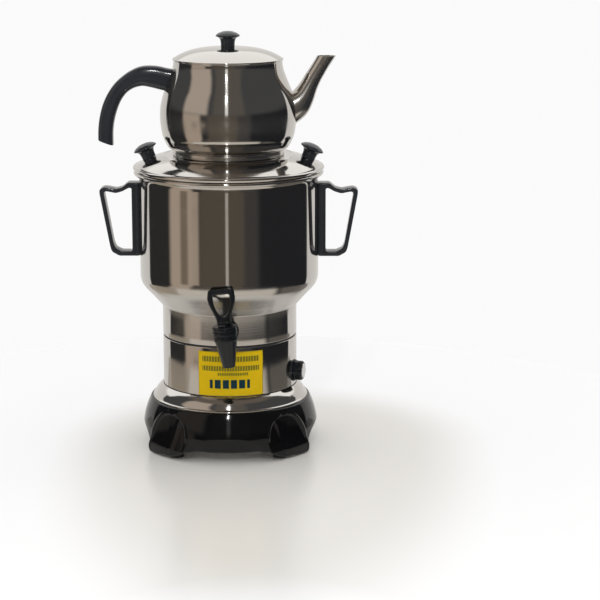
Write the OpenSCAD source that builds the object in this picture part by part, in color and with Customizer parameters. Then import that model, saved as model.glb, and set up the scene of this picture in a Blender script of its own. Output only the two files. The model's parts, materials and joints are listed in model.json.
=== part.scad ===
// Electric samovar: a stepped steel boiler on a black base, with a lever tap at the front, a heat
// knob at the right, a strap handle on each side and a teapot that sits on the boiler's lid.
// The origin is on the vertical axis at table level. +Z is up, the tap faces -Y, the teapot's
// spout points to +X. All sizes are in millimetres.

/* [Base] */
// Widest diameter of the black base, at its crease
base_d = 210; // [195:1:235]
// Height of the base's top edge above the table
base_h = 60; // [54:1:74]
// Wall thickness of the base moulding
base_wall = 3; // [2.4:0.1:4]
// Height of the arch under the edge, between the feet
arch_h = 13; // [9:1:16]
// Height of the crease where the base's side turns under
crease_h = 31; // [27:1:35]
// How far a foot's panel stands out from the side
foot_step = 3; // [2:0.5:5]
// Diameter of a rubber foot
rubber_d = 16; // [12:1:20]
// Height of a rubber foot
rubber_h = 4; // [3:0.5:6]

/* [Housing] */
// Diameter of the steel housing and of the boiler's neck
housing_d = 160; // [130:1:172]
// Diameter of the flared skirt's rim
skirt_d = 186; // [180:1:192]
// Height of the flared skirt
skirt_h = 17; // [13:1:22]
// Height of the housing between the skirt and the seam
housing_h = 59; // [50:1:80]
// Thickness of the steel sheet
sheet = 1; // [0.8:0.1:1.4]
// Height of the seal in the seam
seam_h = 1.6; // [1.2:0.1:3]

/* [Boiler] */
// Diameter of the boiler's wall
boiler_d = 212; // [190:1:232]
// Height of the boiler's neck, from the seam to the shoulder
neck_h = 36; // [34:1:48]
// Height of the boiler's wall and shoulder, from the neck to the rim
boiler_h = 161; // [130:1:195]
// Radius where the shoulder turns into the wall
shoulder_r = 12; // [8:1:16]
// Radius of the rolled bead round the rim
bead_r = 2.6; // [2:0.1:3]

/* [Boiler lid] */
// Diameter of the lid's rim
lid_d = 228; // [206:1:250]
// Height of the rolled edge of the lid
lid_edge_h = 4; // [3:0.5:6]
// Diameter of the ridge round the teapot's seat
seat_d = 155; // [120:1:170]
// Height of the seat above the lid's edge
seat_h = 13.4; // [10:0.2:18]
// Diameter of the steam hole under the teapot
steam_d = 104; // [60:1:120]
// Depth of the ring that centres the lid in the boiler
lid_ring_h = 10; // [6:1:14]
// Distance of the lid's two knobs from the axis
lid_knob_at = 93.5; // [88:0.5:100]

/* [Knobs] */
// Diameter of a knob's cap
cap_d = 28.5; // [22:0.5:34]
// Diameter of a knob's stem at its waist
stem_d = 15; // [12:0.5:18]
// Height of a knob
knob_h = 18.5; // [16:0.5:24]
// Diameter of the screws that hold knobs and handles
screw_d = 4; // [3:0.5:5]

/* [Side handles] */
// Height of a side handle
handle_h = 87; // [70:1:105]
// Height of the handle's lower end above the neck's top
handle_at = 57; // [52:1:64]
// How far a handle's grip stands out from the wall at its top
handle_reach = 47; // [38:1:56]
// Width of the handle's strap, seen from the side
handle_w = 20; // [16:1:26]
// Thickness of the handle's strap
strap_t = 5; // [4:0.5:7]
// Thickness of the bar that lies against the boiler
bar_t = 9; // [7:0.5:12]

/* [Tap] */
// Height of the tap's barrel above the seam
tap_at = 19; // [17:0.5:20]
// Distance of the tap's chamber from the axis of the samovar
tap_reach = 112.5; // [111:0.5:120]
// Diameter of the collar on top of the tap
bonnet_d = 29; // [26:0.5:32]
// Diameter of the chamber
chamber_d = 26; // [24:0.5:28]
// Length of the tapered spout under the chamber
nozzle_h = 31.5; // [24:0.5:40]
// Diameter of the spout's tip
nozzle_d = 14.3; // [12:0.1:18]
// Diameter of the water way
bore_d = 9; // [7:0.5:10]
// Diameter of the threaded shank through the wall
shank_d = 12; // [11:0.5:14]
// Height of the lever above its pin
lever_h = 39.5; // [34:0.5:50]
// Width of the lever's loop
lever_w = 32.4; // [28:0.2:38]
// Lean of the tap about its barrel
tap_lean = 6; // [0:0.5:10]
// Diameter of the rod that lifts the seal
rod_d = 5; // [4:0.5:6]

/* [Heat knob] */
// Height of the heat knob's centre above the skirt
heat_at = 18; // [15:0.5:24]
// Bearing of the heat knob, from +X towards the front
heat_turn = 15; // [10:0.5:40]
// Diameter of the heat knob
heat_d = 24.4; // [20:0.2:28]
// Length of the heat knob
heat_l = 11; // [9:0.5:16]
// Diameter of its spindle
spindle_d = 6; // [5:0.5:7]

/* [Teapot] */
// Widest diameter of the teapot's body
belly_d = 161; // [130:1:180]
// Height of the teapot's body above its base disc
pot_h = 104; // [85:1:125]
// Diameter of the teapot's mouth
mouth_d = 127.4; // [105:0.2:134]
// Diameter of the thick base disc
disc_d = 132; // [112:1:140]
// Height of the base disc
disc_h = 6.4; // [4:0.2:9]
// Thickness of the teapot's wall
pot_wall = 1.2; // [0.8:0.1:1.6]
// Diameter of the teapot lid's rim
pot_lid_d = 130; // [108:0.5:138]
// Height of the teapot lid's dome
pot_dome = 12.9; // [8:0.1:16]
// How square the shoulder of the teapot lid is; 2 is a plain arc
pot_dome_curve = 3.2; // [2:0.1:4]
// Height of the grip's top above the teapot's base disc
grip_at = 98.5; // [84:0.5:106]
// How far the grip reaches out from the axis
grip_reach = 151; // [140:1:170]
// Depth of the grip, front to back
grip_w = 20; // [16:1:26]

/* [Hidden] */
$fn = 72;

// Clearances
run = 0.05;      // radial gap of a rod or spindle in its bore
seat = 0.3;      // gap under a part that lifts off
slack = 0.6;     // gap between parts that pass each other
over = 0.2;      // overlap that a cut needs to break through

// Levels, from the table up
skirt_z = base_h - 1;
housing_z = skirt_z + skirt_h;
seam_z = housing_z + housing_h;
vessel_z = seam_z + seam_h;
neck_z = vessel_z + neck_h;
rim_z = neck_z + boiler_h;
lid_z = rim_z + seat;
ledge_z = lid_z + lid_edge_h + seat_h;
disc_z = ledge_z + seat;
pot_z = disc_z + disc_h;
mouth_z = pot_z + pot_h;
pot_lid_z = mouth_z + seat;

// Radii
base_r = base_d / 2;
lip_r = skirt_d / 2 + slack;
housing_r = housing_d / 2;
boiler_r = boiler_d / 2;
lid_r = lid_d / 2;
seat_r = seat_d / 2;
belly_r = belly_d / 2;
mouth_r = mouth_d / 2;

// ---------- Outline helpers ----------

function unit(v) = v / norm(v);

// Normal to the left of the way from a to b.
function left_of(a, b) = let (d = unit(b - a)) [-d.y, d.x];

// Offset direction at point i of an open path, long enough to keep the wall's thickness.
function corner(p, i) =
    i == 0 ? left_of(p[0], p[1]) :
    i == len(p) - 1 ? left_of(p[i - 1], p[i]) :
    let (m = left_of(p[i - 1], p[i]) + left_of(p[i], p[i + 1])) m * 2 / (m * m);

function beside(p, t) = [for (i = [0:len(p) - 1]) p[i] + t * corner(p, i)];

function reversed(p) = [for (i = [len(p) - 1:-1:0]) p[i]];

function arc(c, r, a0, a1, n) =
    [for (i = [0:n]) let (a = a0 + (a1 - a0) * i / n) c + r * [cos(a), sin(a)]];

// Smooth curve through knots, each stretch in n pieces.
function knot(p, i) = p[max(0, min(len(p) - 1, i))];
function between(a, b, c, d, u) =
    0.5 * (2 * b + (c - a) * u + (2 * a - 5 * b + 4 * c - d) * u * u
           + (3 * b - a - 3 * c + d) * u * u * u);
function smooth(p, n) = concat(
    [for (i = [0:len(p) - 2], j = [0:n - 1])
        between(knot(p, i - 1), p[i], p[i + 1], knot(p, i + 2), j / n)],
    [p[len(p) - 1]]);

// A sheet of thickness t whose outside is the path, with the axis on its left.
module sheet_of(path, t) polygon(concat(path, [for (q = reversed(beside(path, t))) [max(q.x, 0), q.y]]));

module turned() rotate_extrude() children();

// A wide upright cylinder that cuts a piece to the curve of a wall, h to each side of z.
module wall_curve(r, z, h) translate([0, 0, z - h]) cylinder(r = r, h = 2 * h, $fn = 360);

// A flat strap of thickness t along an open path.
module strap_2d(path, t) polygon(concat(beside(path, -t / 2), reversed(beside(path, t / 2))));

// A solid through rings of equal length, closed at both ends.
module loft(rings) {
    m = len(rings[0]);
    n = len(rings);
    sides = [for (i = [0:n - 2], j = [0:m - 1])
        [i * m + j, i * m + (j + 1) % m, (i + 1) * m + (j + 1) % m, (i + 1) * m + j]];
    first = [[for (j = [m - 1:-1:0]) j]];
    last = [[for (j = [0:m - 1]) (n - 1) * m + j]];
    polyhedron(points = [for (r = rings) each r], faces = concat(sides, first, last));
}

// Rings across a path in the XZ plane: half sizes [in plane, along Y] and a corner exponent.
function heading(p, i) = unit(knot(p, i + 1) - knot(p, i - 1));
function ring_at(c, h, w, d, m, e) = [for (j = [0:m - 1])
    let (a = 360 * j / m, s = pow(abs(cos(a)), e) * sign(cos(a)) * w,
         y = pow(abs(sin(a)), e) * sign(sin(a)) * d)
    [c.x - h.y * s, y, c.y + h.x * s]];
function rings_on(p, sizes, m, e) =
    [for (i = [0:len(p) - 1]) ring_at(p[i], heading(p, i), sizes[i].x, sizes[i].y, m, e)];

// A bent wire of diameter d along points in space, none of whose stretches is upright along X.
function turn3(p, i) = unit(p[min(len(p) - 1, i + 1)] - p[max(0, i - 1)]);
module wire_along(path, d, m = 8) loft([for (i = [0:len(path) - 1])
    let (t = turn3(path, i), u = unit(cross(t, [1, 0.2, 0])), v = cross(t, u))
    [for (j = [0:m - 1]) path[i] + d / 2 * (cos(360 * j / m) * u + sin(360 * j / m) * v)]]);

// ---------- Base ----------

// The base's side bulges to the crease, then turns under to the arch.
side_bulge = 1.5;
under_in = 9;
function base_outer(z) = z >= crease_h
    ? base_r - (base_r - lip_r - 1.6) * pow((z - crease_h) / (base_h - crease_h), side_bulge)
    : base_r - under_in * pow((crease_h - z) / (crease_h - arch_h), 1.3);
base_levels = [for (i = [0:3]) arch_h + (crease_h - arch_h) * i / 3];
base_uppers = [for (i = [1:5]) crease_h + (base_h - crease_h) * i / 5];
base_side = [for (z = concat(base_levels, base_uppers)) [base_outer(z), z]];

deck_t = 3;
deck_hole_r = housing_r - 20;
boss_at = 76;
boss_d = 10;
foot_turn = 45;
foot_in = 84;
rubber_at = [90, -4];
tie_at = housing_r - 15;
tie_d = 5;
tie_turns = [60, 180, 300];

// Outline of a foot's panel, seen from outside: x along the side, y up.
foot_outline = [[-35, 0.8], [-26, 29], [-18, 42], [-11, base_h - 5], [0, base_h - 2.5],
                [14, base_h - 2.5], [25, 50], [31, 40], [32, 28], [28.6, arch_h + 1.7], [18, 3], [8, 0.8]];
foot_side = [[base_outer(base_h) + 0.4, base_h], [base_outer(45) + foot_step, 45],
             [base_r + foot_step, crease_h - 0.6], [base_r + foot_step, arch_h - 1.6],
             [base_r - 0.5, 0]];

module foot_block() {
    rotate(-90 - foot_turn) intersection() {
        rotate([90, 0, 0]) linear_extrude(height = base_r * 1.3) polygon(foot_outline);
        rotate_extrude(start = 210, angle = 120)
            polygon(concat([[foot_in, 0], [foot_in, base_h - 2.5]],
                           [for (p = foot_side) [p.x, min(p.y, base_h - 2.5)]]));
    }
}

module four_ways() {
    for (mx = [0, 1], my = [0, 1]) mirror([0, my, 0]) mirror([mx, 0, 0]) children();
}

module at_rubber() {
    four_ways() rotate(-90 - foot_turn) translate([rubber_at.y, -rubber_at.x, 0]) children();
}

module at_bosses() {
    for (a = [45:90:315]) rotate(a) translate([boss_at, 0, 0]) children();
}

module at_ties() {
    for (a = tie_turns) rotate(a) translate([tie_at, 0, 0]) children();
}

plate_z = arch_h + 2;
plate_t = 2;

module base_shell() color("#141414") difference() {
    union() {
        turned() sheet_of(base_side, base_wall);
        turned() translate([deck_hole_r, skirt_z - deck_t])
            square([base_outer(base_h) - base_wall / 2 - deck_hole_r, deck_t]);
        four_ways() foot_block();
        at_bosses() translate([0, 0, plate_z + plate_t]) cylinder(d = boss_d, h = skirt_z - deck_t / 2 - plate_z - plate_t);
    }
    at_bosses() translate([0, 0, plate_z]) cylinder(d = screw_d, h = 20);
    translate([0, 0, skirt_z]) cylinder(r = lip_r, h = 5);
    at_rubber() translate([0, 0, -over]) cylinder(d = rubber_d, h = rubber_h + over);
    at_ties() translate([0, 0, skirt_z - deck_t - over]) cylinder(d = tie_d + 2 * slack, h = deck_t + 2 * over);
}

module rubber_feet() color("#202020") at_rubber() cylinder(d = rubber_d, h = rubber_h);

vent_n = 12;
module bottom_plate() color("#8a8a88") difference() {
    translate([0, 0, plate_z]) cylinder(r = foot_in - slack, h = plate_t);
    at_bosses() translate([0, 0, plate_z - over]) cylinder(d = screw_d + 0.5, h = plate_t + 2 * over);
    for (i = [0:vent_n - 1]) rotate((i + 0.5) * 360 / vent_n)
        translate([30, -2, plate_z - over]) cube([26, 4, plate_t + 2 * over]);
}

// A pan-head screw pointing up from z = 0, its head below.
module screw_up(d, l) {
    translate([0, 0, -2.4]) difference() {
        cylinder(d = d * 1.9, h = 2.4);
        translate([-d * 0.9, -0.4, -over]) cube([d * 1.8, 0.8, 0.8 + over]);
    }
    cylinder(d = d, h = l);
}

module bottom_screws() color("#b8b8b4") at_bosses() translate([0, 0, plate_z]) screw_up(screw_d, 18);

// ---------- Skirt, housing and label ----------

skirt_band = 3.2;
spigot_h = 8;
skirt_side = concat(
    [[skirt_d / 2, skirt_z], [skirt_d / 2, skirt_z + 1.5], [skirt_d / 2 - 0.4, skirt_z + skirt_band]],
    [for (i = [0:5]) let (a = 8 + 76 * i / 5)
        [housing_r + (skirt_d / 2 - 1.6 - housing_r) * cos(a), skirt_z + skirt_band + 1
         + (skirt_h - skirt_band - 1) * sin(a) / sin(84)]]);

module skirt_ring() color("#c9c7c2") turned() {
    sheet_of(skirt_side, sheet);
    translate([housing_r - 2 * sheet - run, housing_z - 2 * sheet])
        square([sheet, spigot_h + 2 * sheet]);
    translate([housing_r - 2 * sheet - run, housing_z - sheet]) square([2 * sheet + run + 1.5, sheet]);
}

heat_z = housing_z + heat_at;
inlet_z = housing_z + 24;
inlet_w = 27;
inlet_h = 20;
bush_d = 10;

module at_heat() translate([0, 0, heat_z]) rotate(-heat_turn) rotate([0, 90, 0]) children();

module housing() color("#cfcdc8") difference() {
    turned() {
        translate([housing_r - sheet, housing_z]) square([sheet, housing_h]);
        translate([housing_r - 9, seam_z - sheet]) square([9, sheet]);
    }
    at_heat() translate([0, 0, housing_r - 10]) cylinder(d = bush_d + 2 * run, h = 20);
    translate([-inlet_w / 2 - run, housing_r - 12, inlet_z - inlet_h / 2 - run])
        cube([inlet_w + 2 * run, 24, inlet_h + 2 * run]);
    translate([0, housing_r, inlet_z]) rotate([-90, 0, 0]) for (s = [-1, 1])
        translate([s * (inlet_w / 2 + 4), 0, -8]) cylinder(d = 3 + 2 * run, h = 12);
}

label_w = 78;
label_h = 53;
label_t = 0.4;
label_turn = 3;
module label_plate() color("#e6c414") {
    span = label_w / housing_r * 180 / PI;
    translate([0, 0, housing_z + 1.5])
        rotate_extrude(start = 270 + label_turn - span / 2, angle = span)
            translate([housing_r + 0.04, 0]) square([label_t, label_h]);
}

module seam_seal() color("#1c1c1c") turned()
    translate([housing_r - 10, seam_z]) square([9.2, seam_h]);

module tie_rods() color("#b0b0ac") at_ties()
    translate([0, 0, skirt_z - deck_t - 8]) cylinder(d = tie_d, h = vessel_z - skirt_z + deck_t + 8);

module tie_nuts() color("#b0b0ac") at_ties() translate([0, 0, skirt_z - deck_t - 5]) difference() {
    union() {
        cylinder(d = 9.2, h = 4, $fn = 6);
        translate([0, 0, 4]) cylinder(d = 12, h = 1);
    }
    translate([0, 0, -over]) cylinder(d = tie_d, h = 5 + 2 * over);
}

// ---------- Boiler ----------

shoulder_rise = 44;
shoulder_c = [boiler_r - shoulder_r,
              neck_z + tan(shoulder_rise) * (boiler_r - shoulder_r - housing_r)
              + shoulder_r / cos(shoulder_rise)];
bead_c = [boiler_r + bead_r - sheet + 2, rim_z - bead_r];
// The neck and the drum are welded where they meet, at the neck's top.
neck_side = concat(
    [[0.01, vessel_z], [housing_r - 3, vessel_z]],
    arc([housing_r - 3, vessel_z + 3], 3, -60, 0, 2),
    [[housing_r, neck_z]]);
drum_side = concat(
    [[housing_r, neck_z], [housing_r, neck_z + 0.8]],
    arc(shoulder_c, shoulder_r, shoulder_rise - 90, 0, 6),
    [[boiler_r, rim_z - 8], [boiler_r + 2, rim_z - 4.5], [boiler_r + 2, rim_z - bead_r]]);

tap_z = vessel_z + tap_at;
element_r = 50;
element_z = vessel_z + 14;
element_d = 8;
leg_d = 9.5;
leg_at = [16, 46];
handle_low = min(neck_z + handle_at, rim_z - 9 - handle_h);
screw_levels = [handle_low + 14, handle_low + handle_h - 20];

module at_handle_screws(side) for (z = screw_levels)
    translate([0, 0, z]) rotate([0, side * 90, 0]) children();

module at_legs() for (s = [-1, 1]) translate([s * leg_at.x, leg_at.y, 0]) children();

module boiler_drum() color("#d6d4cf") difference() {
    turned() {
        sheet_of(drum_side, sheet);
        translate(bead_c) circle(r = bead_r, $fn = 32);
    }
    for (s = [-1, 1]) at_handle_screws(s) translate([0, 0, boiler_r - 6])
        cylinder(d = screw_d + 2 * run, h = 12);
}

module boiler_neck() color("#d2d0cb") difference() {
    turned() sheet_of(neck_side, sheet);
    translate([0, 0, tap_z]) rotate([90, 0, 0]) translate([0, 0, housing_r - 8])
        cylinder(d = shank_d + 2 * run, h = 16);
    at_legs() translate([0, 0, vessel_z - over]) cylinder(d = leg_d + 2 * run, h = sheet + 2 * over);
}

element_gap = 2 * atan(leg_at.x / leg_at.y);
module heating_element() color("#9d9a94") {
    translate([0, 0, element_z]) rotate_extrude(start = 90 + element_gap / 2, angle = 360 - element_gap)
        translate([norm(leg_at), 0]) circle(d = element_d, $fn = 32);
    at_legs() translate([0, 0, vessel_z - 14]) cylinder(d = leg_d, h = element_z + 6 - vessel_z + 14);
    at_legs() translate([0, 0, vessel_z - 20]) cylinder(d = 3, h = 7);
}

module element_seals() color("#b5462e") at_legs() translate([0, 0, vessel_z + sheet])
    difference() {
        cylinder(d = leg_d + 5, h = 2);
        translate([0, 0, -over]) cylinder(d = leg_d, h = 2 + 2 * over);
    }

module element_nuts() color("#c2a14a") at_legs() translate([0, 0, vessel_z - 5]) difference() {
    cylinder(d = leg_d + 7, h = 5, $fn = 6);
    translate([0, 0, -over]) cylinder(d = leg_d, h = 5 + 2 * over);
}

module dry_boil_cutout() color("#d9d2c2") translate([0, 0, vessel_z]) {
    translate([0, 0, -9]) cylinder(d = 22, h = 9);
    for (s = [-1, 1]) translate([s * 6 - 0.4, -3, -17]) cube([0.8, 6, 8]);
}

// ---------- Thermostat and heat knob ----------

stat_face = housing_r - 4;
stat_l = 26;
bezel_out = housing_r + 1;
knob_in = bezel_out + 0.3;

module thermostat() color("#e4ded0") difference() {
    union() {
        at_heat() translate([-15, -15, stat_face - stat_l]) cube([30, 30, stat_l]);
        at_heat() translate([0, 0, stat_face - 1]) cylinder(d = bush_d, h = housing_r + 1 - stat_face);
        at_heat() for (s = [-1, 1]) translate([s * 8 - 3, -3, stat_face - stat_l - 8]) cube([6, 0.8, 8 + over]);
    }
    at_heat() translate([0, 0, stat_face - stat_l + 4])
        cylinder(d = spindle_d + 2 * run, h = stat_l + 20);
    at_heat() for (s = [-1, 1]) translate([0, s * 11, stat_face - 6]) cylinder(d = 3, h = 7);
}

module thermostat_screws() color("#b0b0ac") at_heat() for (s = [-1, 1])
    translate([0, s * 11, 0]) {
        translate([0, 0, stat_face - 6]) cylinder(d = 3, h = 6);
        translate([0, 0, stat_face]) cylinder(d = 5.6, h = 1.6);
    }

// A round plate whose back follows the housing.
module dial_bezel() color("#101010") difference() {
    at_heat() translate([0, 0, housing_r - 4]) cylinder(d = heat_d + 2, h = bezel_out - housing_r + 4);
    wall_curve(housing_r, heat_z, 30);
    at_heat() translate([0, 0, housing_r - 5]) cylinder(d = bush_d + 1, h = 12);
}

module spindle_flat(z, h) translate([-spindle_d, spindle_d / 2 - 1.2, z]) cube([2 * spindle_d, spindle_d, h]);

module spindle() color("#c9c7c2") at_heat() difference() {
    translate([0, 0, stat_face - stat_l + 4 + seat]) cylinder(d = spindle_d, h = knob_in + heat_l - 4 - stat_face + stat_l - 4);
    spindle_flat(knob_in + 1, heat_l);
}

rib_n = 20;
insert_t = 1;
module heat_knob() color("#1b1b1b") at_heat() difference() {
    union() {
        translate([0, 0, knob_in]) cylinder(d = heat_d, h = 2);
        translate([0, 0, knob_in + 2]) cylinder(d = heat_d - 1.2, h = heat_l - 4);
        translate([0, 0, knob_in + heat_l - 2]) cylinder(d1 = heat_d - 1.2, d2 = heat_d - 5, h = 2);
    }
    for (i = [0:rib_n - 1]) rotate((i + 0.5) * 360 / rib_n) translate([heat_d / 2 - 0.2, 0, knob_in + 2.4])
        cylinder(d = 1.6, h = heat_l, $fn = 16);
    difference() {
        translate([0, 0, knob_in - over]) cylinder(d = spindle_d, h = heat_l - 3.7 + over);
        spindle_flat(knob_in + 1, heat_l);
    }
    translate([0, 0, knob_in + heat_l - insert_t]) cylinder(d = heat_d - 7, h = insert_t + over);
}

module knob_insert() color("#d8d8d8") at_heat() translate([0, 0, knob_in + heat_l - insert_t]) {
    cylinder(d = heat_d - 7, h = insert_t + 0.4);
    translate([-0.8, 2, insert_t + 0.4]) cube([1.6, heat_d / 2 - 6, 0.4]);
}

// ---------- Power inlet and wires ----------

inlet_t = 2.5;
pin_at = [[0, 4], [-7, -3], [7, -3]];
module at_inlet() translate([0, housing_r, inlet_z]) rotate([-90, 0, 0]) children();

module power_inlet() color("#151515") difference() {
    at_inlet() {
        translate([-inlet_w / 2 - 8, -inlet_h / 2 - 3, -0.6]) cube([inlet_w + 16, inlet_h + 6, inlet_t + 0.6]);
        translate([-inlet_w / 2, -inlet_h / 2, -24]) cube([inlet_w, inlet_h, 24]);
    }
    difference() {
        wall_curve(housing_r + 0.04, inlet_z, 30);
        at_inlet() translate([-inlet_w / 2 - over, -inlet_h / 2 - over, -30]) cube([inlet_w + 2 * over, inlet_h + 2 * over, 30]);
    }
    at_inlet() translate([-inlet_w / 2 + 2, -inlet_h / 2 + 2, -18]) cube([inlet_w - 4, inlet_h - 4, 30]);
    at_inlet() for (p = pin_at) translate([p.x - 1, p.y - 2.5, -25]) cube([2, 5, 12]);
    at_inlet() for (s = [-1, 1]) translate([s * (inlet_w / 2 + 4), 0, -4]) cylinder(d = 3, h = 12);
}

module inlet_pins() color("#c9b26a") at_inlet() for (p = pin_at)
    translate([p.x - 1, p.y - 2.5, -32]) cube([2, 5, 28]);

module inlet_screws() color("#b8b8b4") difference() {
    at_inlet() for (s = [-1, 1]) translate([s * (inlet_w / 2 + 4), 0, inlet_t]) mirror([0, 0, 1]) screw_up(3, 7);
    wall_curve(housing_r - 5, inlet_z, 30);
}

wire_d = 3;
// Each wire runs from a tag to a tag, clear of the tie rods.
module inner_wires() color("#a8452f") {
    stat = [(stat_face - stat_l - 9.5) * cos(heat_turn), -(stat_face - stat_l - 9.5) * sin(heat_turn)];
    wire_along([[-7, housing_r - 33.5, inlet_z + 3], [-16, housing_r - 42, inlet_z + 8],
               [-leg_at.x, leg_at.y, vessel_z - 25], [-leg_at.x, leg_at.y, vessel_z - 20.8]], wire_d);
    wire_along([[7, housing_r - 33.5, inlet_z + 3], [12, 24, inlet_z - 4],
               [stat.x - 3, stat.y, heat_z + 8]], wire_d);
    wire_along([[stat.x - 3, stat.y, heat_z - 8], [stat.x - 8, 8, heat_z - 6],
               [leg_at.x, leg_at.y - 12, vessel_z - 30], [leg_at.x, leg_at.y - 2, vessel_z - 25],
               [leg_at.x, leg_at.y, vessel_z - 20.8]], wire_d);
}

// ---------- Side handles ----------

// The loop, in millimetres out from the boiler's wall and up from its lower end.
function handle_path() = let (r = handle_reach, h = handle_h) [
    [bar_t / 2, h - 3.5], [bar_t / 2 + 9, h - 3.5], [bar_t / 2 + 15, h - 8.5], [r - 18, h - 9.5],
    [r - 6, h - 6.5], [r - 2.6, h - 9], [r - 2.4, h - 13], [r - 13.6, 14], [r - 15, 8],
    [r - 20, 3.5], [r - 25, 2.5], [bar_t / 2, 2.5]];

module handle_body(side) difference() {
    translate([side * boiler_r, handle_w / 2, handle_low]) rotate([90, 0, 0])
        mirror([side < 0 ? 1 : 0, 0, 0]) linear_extrude(height = handle_w) {
            strap_2d(handle_path(), strap_t);
            translate([-2, 0]) square([bar_t + 2, handle_h - 1]);
        }
    wall_curve(boiler_r + 0.04, handle_low + handle_h / 2, handle_h);
    at_handle_screws(side) translate([0, 0, boiler_r - 1]) cylinder(d = screw_d, h = bar_t - 1);
}

module side_handle_left() color("#171717") handle_body(-1);
module side_handle_right() color("#171717") handle_body(1);

module handle_screws() color("#c2c0ba") for (s = [-1, 1]) at_handle_screws(s) {
    translate([0, 0, boiler_r - sheet - 3.6]) screw_up(screw_d, bar_t + 2.5);
}

module handle_seals() color("#1c1c1c") intersection() {
    for (s = [-1, 1]) at_handle_screws(s) difference() {
        translate([0, 0, boiler_r - sheet - 3.6]) cylinder(d = 10, h = 5);
        translate([0, 0, boiler_r - 10]) cylinder(d = screw_d, h = 20);
    }
    wall_curve(boiler_r - sheet, handle_low + handle_h / 2, handle_h);
}

// ---------- Tap ----------

// Local frame of the tap: origin on the barrel, chamber axis at y = -tap_reach, z up the chamber.
module tap_frame() translate([0, 0, tap_z]) rotate([0, -tap_lean, 0]) children();
module chamber_frame() tap_frame() translate([0, -tap_reach, 0]) children();

collar_z = -3.5;
bonnet_z = 8.6;
bonnet_h = 5.4;
cavity_z = -9;
pin_z = bonnet_z + bonnet_h + 3.4;
pin_d = 2.5;
flange_t = 3;
pad_t = 1.6;
neck_r = chamber_d / 2 - 2;
cavity_r = chamber_d / 2 - 4.5;

module tap_body() color("#121212") difference() {
    union() {
        difference() {
            tap_frame() rotate([90, 0, 0]) {
                translate([0, 0, housing_r - 8]) cylinder(d = shank_d + 3, h = tap_reach - housing_r + 8);
                translate([0, 0, housing_r - 8]) cylinder(d = bonnet_d - 1, h = pad_t + flange_t + 8);
            }
            wall_curve(housing_r + pad_t, tap_z, 30);
        }
        tap_frame() rotate([90, 0, 0]) translate([0, 0, 64]) cylinder(d = shank_d, h = housing_r + 10 - 64);
        chamber_frame() turned() polygon([[0, collar_z - nozzle_h], [nozzle_d / 2, collar_z - nozzle_h],
            [chamber_d / 2, collar_z], [bonnet_d / 2, collar_z + 1], [bonnet_d / 2, bonnet_z],
            [neck_r, bonnet_z], [neck_r, bonnet_z + bonnet_h - 2], [0, bonnet_z + bonnet_h - 2]]);
    }
    chamber_frame() turned() polygon([[0, collar_z - nozzle_h - 1], [bore_d / 2, collar_z - nozzle_h - 1],
        [bore_d / 2, cavity_z], [cavity_r, cavity_z], [cavity_r, 30], [0, 30]]);
    tap_frame() rotate([90, 0, 0]) translate([0, 0, 60]) cylinder(d = bore_d - 2, h = tap_reach - 60);
}

module tap_bonnet() color("#121212") chamber_frame() difference() {
    union() {
        translate([0, 0, bonnet_z]) cylinder(d = bonnet_d, h = bonnet_h - 1.5);
        translate([0, 0, bonnet_z + bonnet_h - 1.5]) cylinder(d1 = bonnet_d, d2 = bonnet_d - 3, h = 1.5);
    }
    translate([0, 0, bonnet_z - over]) cylinder(r = neck_r, h = bonnet_h - 2 + over);
    cylinder(d = rod_d + 2 * run, h = 30);
}

module tap_seals() color("#262626") {
    difference() {
        intersection() {
            tap_frame() rotate([90, 0, 0]) translate([0, 0, housing_r - 8]) cylinder(d = bonnet_d - 3, h = 8 + pad_t + 1);
            wall_curve(housing_r + pad_t, tap_z, 30);
        }
        wall_curve(housing_r, tap_z, 30);
        tap_frame() rotate([90, 0, 0]) translate([0, 0, 50]) cylinder(d = shank_d, h = 60);
    }
    difference() {
        intersection() {
            tap_frame() rotate([90, 0, 0]) translate([0, 0, nut_y]) cylinder(d = 20, h = 16);
            wall_curve(housing_r - sheet, tap_z, 30);
        }
        tap_frame() rotate([90, 0, 0]) translate([0, 0, 50]) cylinder(d = shank_d, h = 60);
    }
}

nut_y = housing_r - sheet - 3;
module tap_nut() color("#c9a94e") tap_frame() rotate([90, 0, 0]) translate([0, 0, nut_y - 6]) difference() {
    cylinder(d = 21, h = 6, $fn = 6);
    translate([0, 0, -over]) cylinder(d = shank_d, h = 6 + 2 * over);
}

cup_z = cavity_z + seat;
module tap_rod() color("#c6c4be") chamber_frame() difference() {
    translate([0, 0, cup_z + 2]) cylinder(d = rod_d, h = pin_z + 2.6 - cup_z - 2);
    translate([0, 0, pin_z]) rotate([0, 90, 0]) cylinder(d = pin_d, h = 2 * rod_d, center = true);
}

module tap_cup() color("#8d3a2c") chamber_frame() difference() {
    translate([0, 0, cup_z]) cylinder(d = chamber_d - 11, h = 4.5);
    translate([0, 0, cup_z + 2]) cylinder(d = rod_d, h = 4);
}

// A coil spring between the cup and the bonnet's roof.
spring_turns = 3;
spring_steps = 14;
spring_r = 5;
wire_r = 0.45;
spring_low = cup_z + 4.5 + wire_r + 0.1;
spring_high = bonnet_z + bonnet_h - 2 - wire_r - 0.1;
module tap_spring() color("#b9b9b5") chamber_frame()
    loft([for (i = [0:spring_turns * spring_steps])
        let (a = 360 * i / spring_steps, z = spring_low + (spring_high - spring_low) * i / (spring_turns * spring_steps))
        [for (j = [0:7]) let (b = -360 * j / 8) [(spring_r + wire_r * cos(b)) * cos(a),
            (spring_r + wire_r * cos(b)) * sin(a), z + wire_r * sin(b)]]]);

lever_t = 8;
fork_w = 17;
module tap_pin() color("#c6c4be") chamber_frame() translate([0, 0, pin_z])
    rotate([0, 90, 0]) cylinder(d = pin_d, h = fork_w - 1, center = true);

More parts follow.
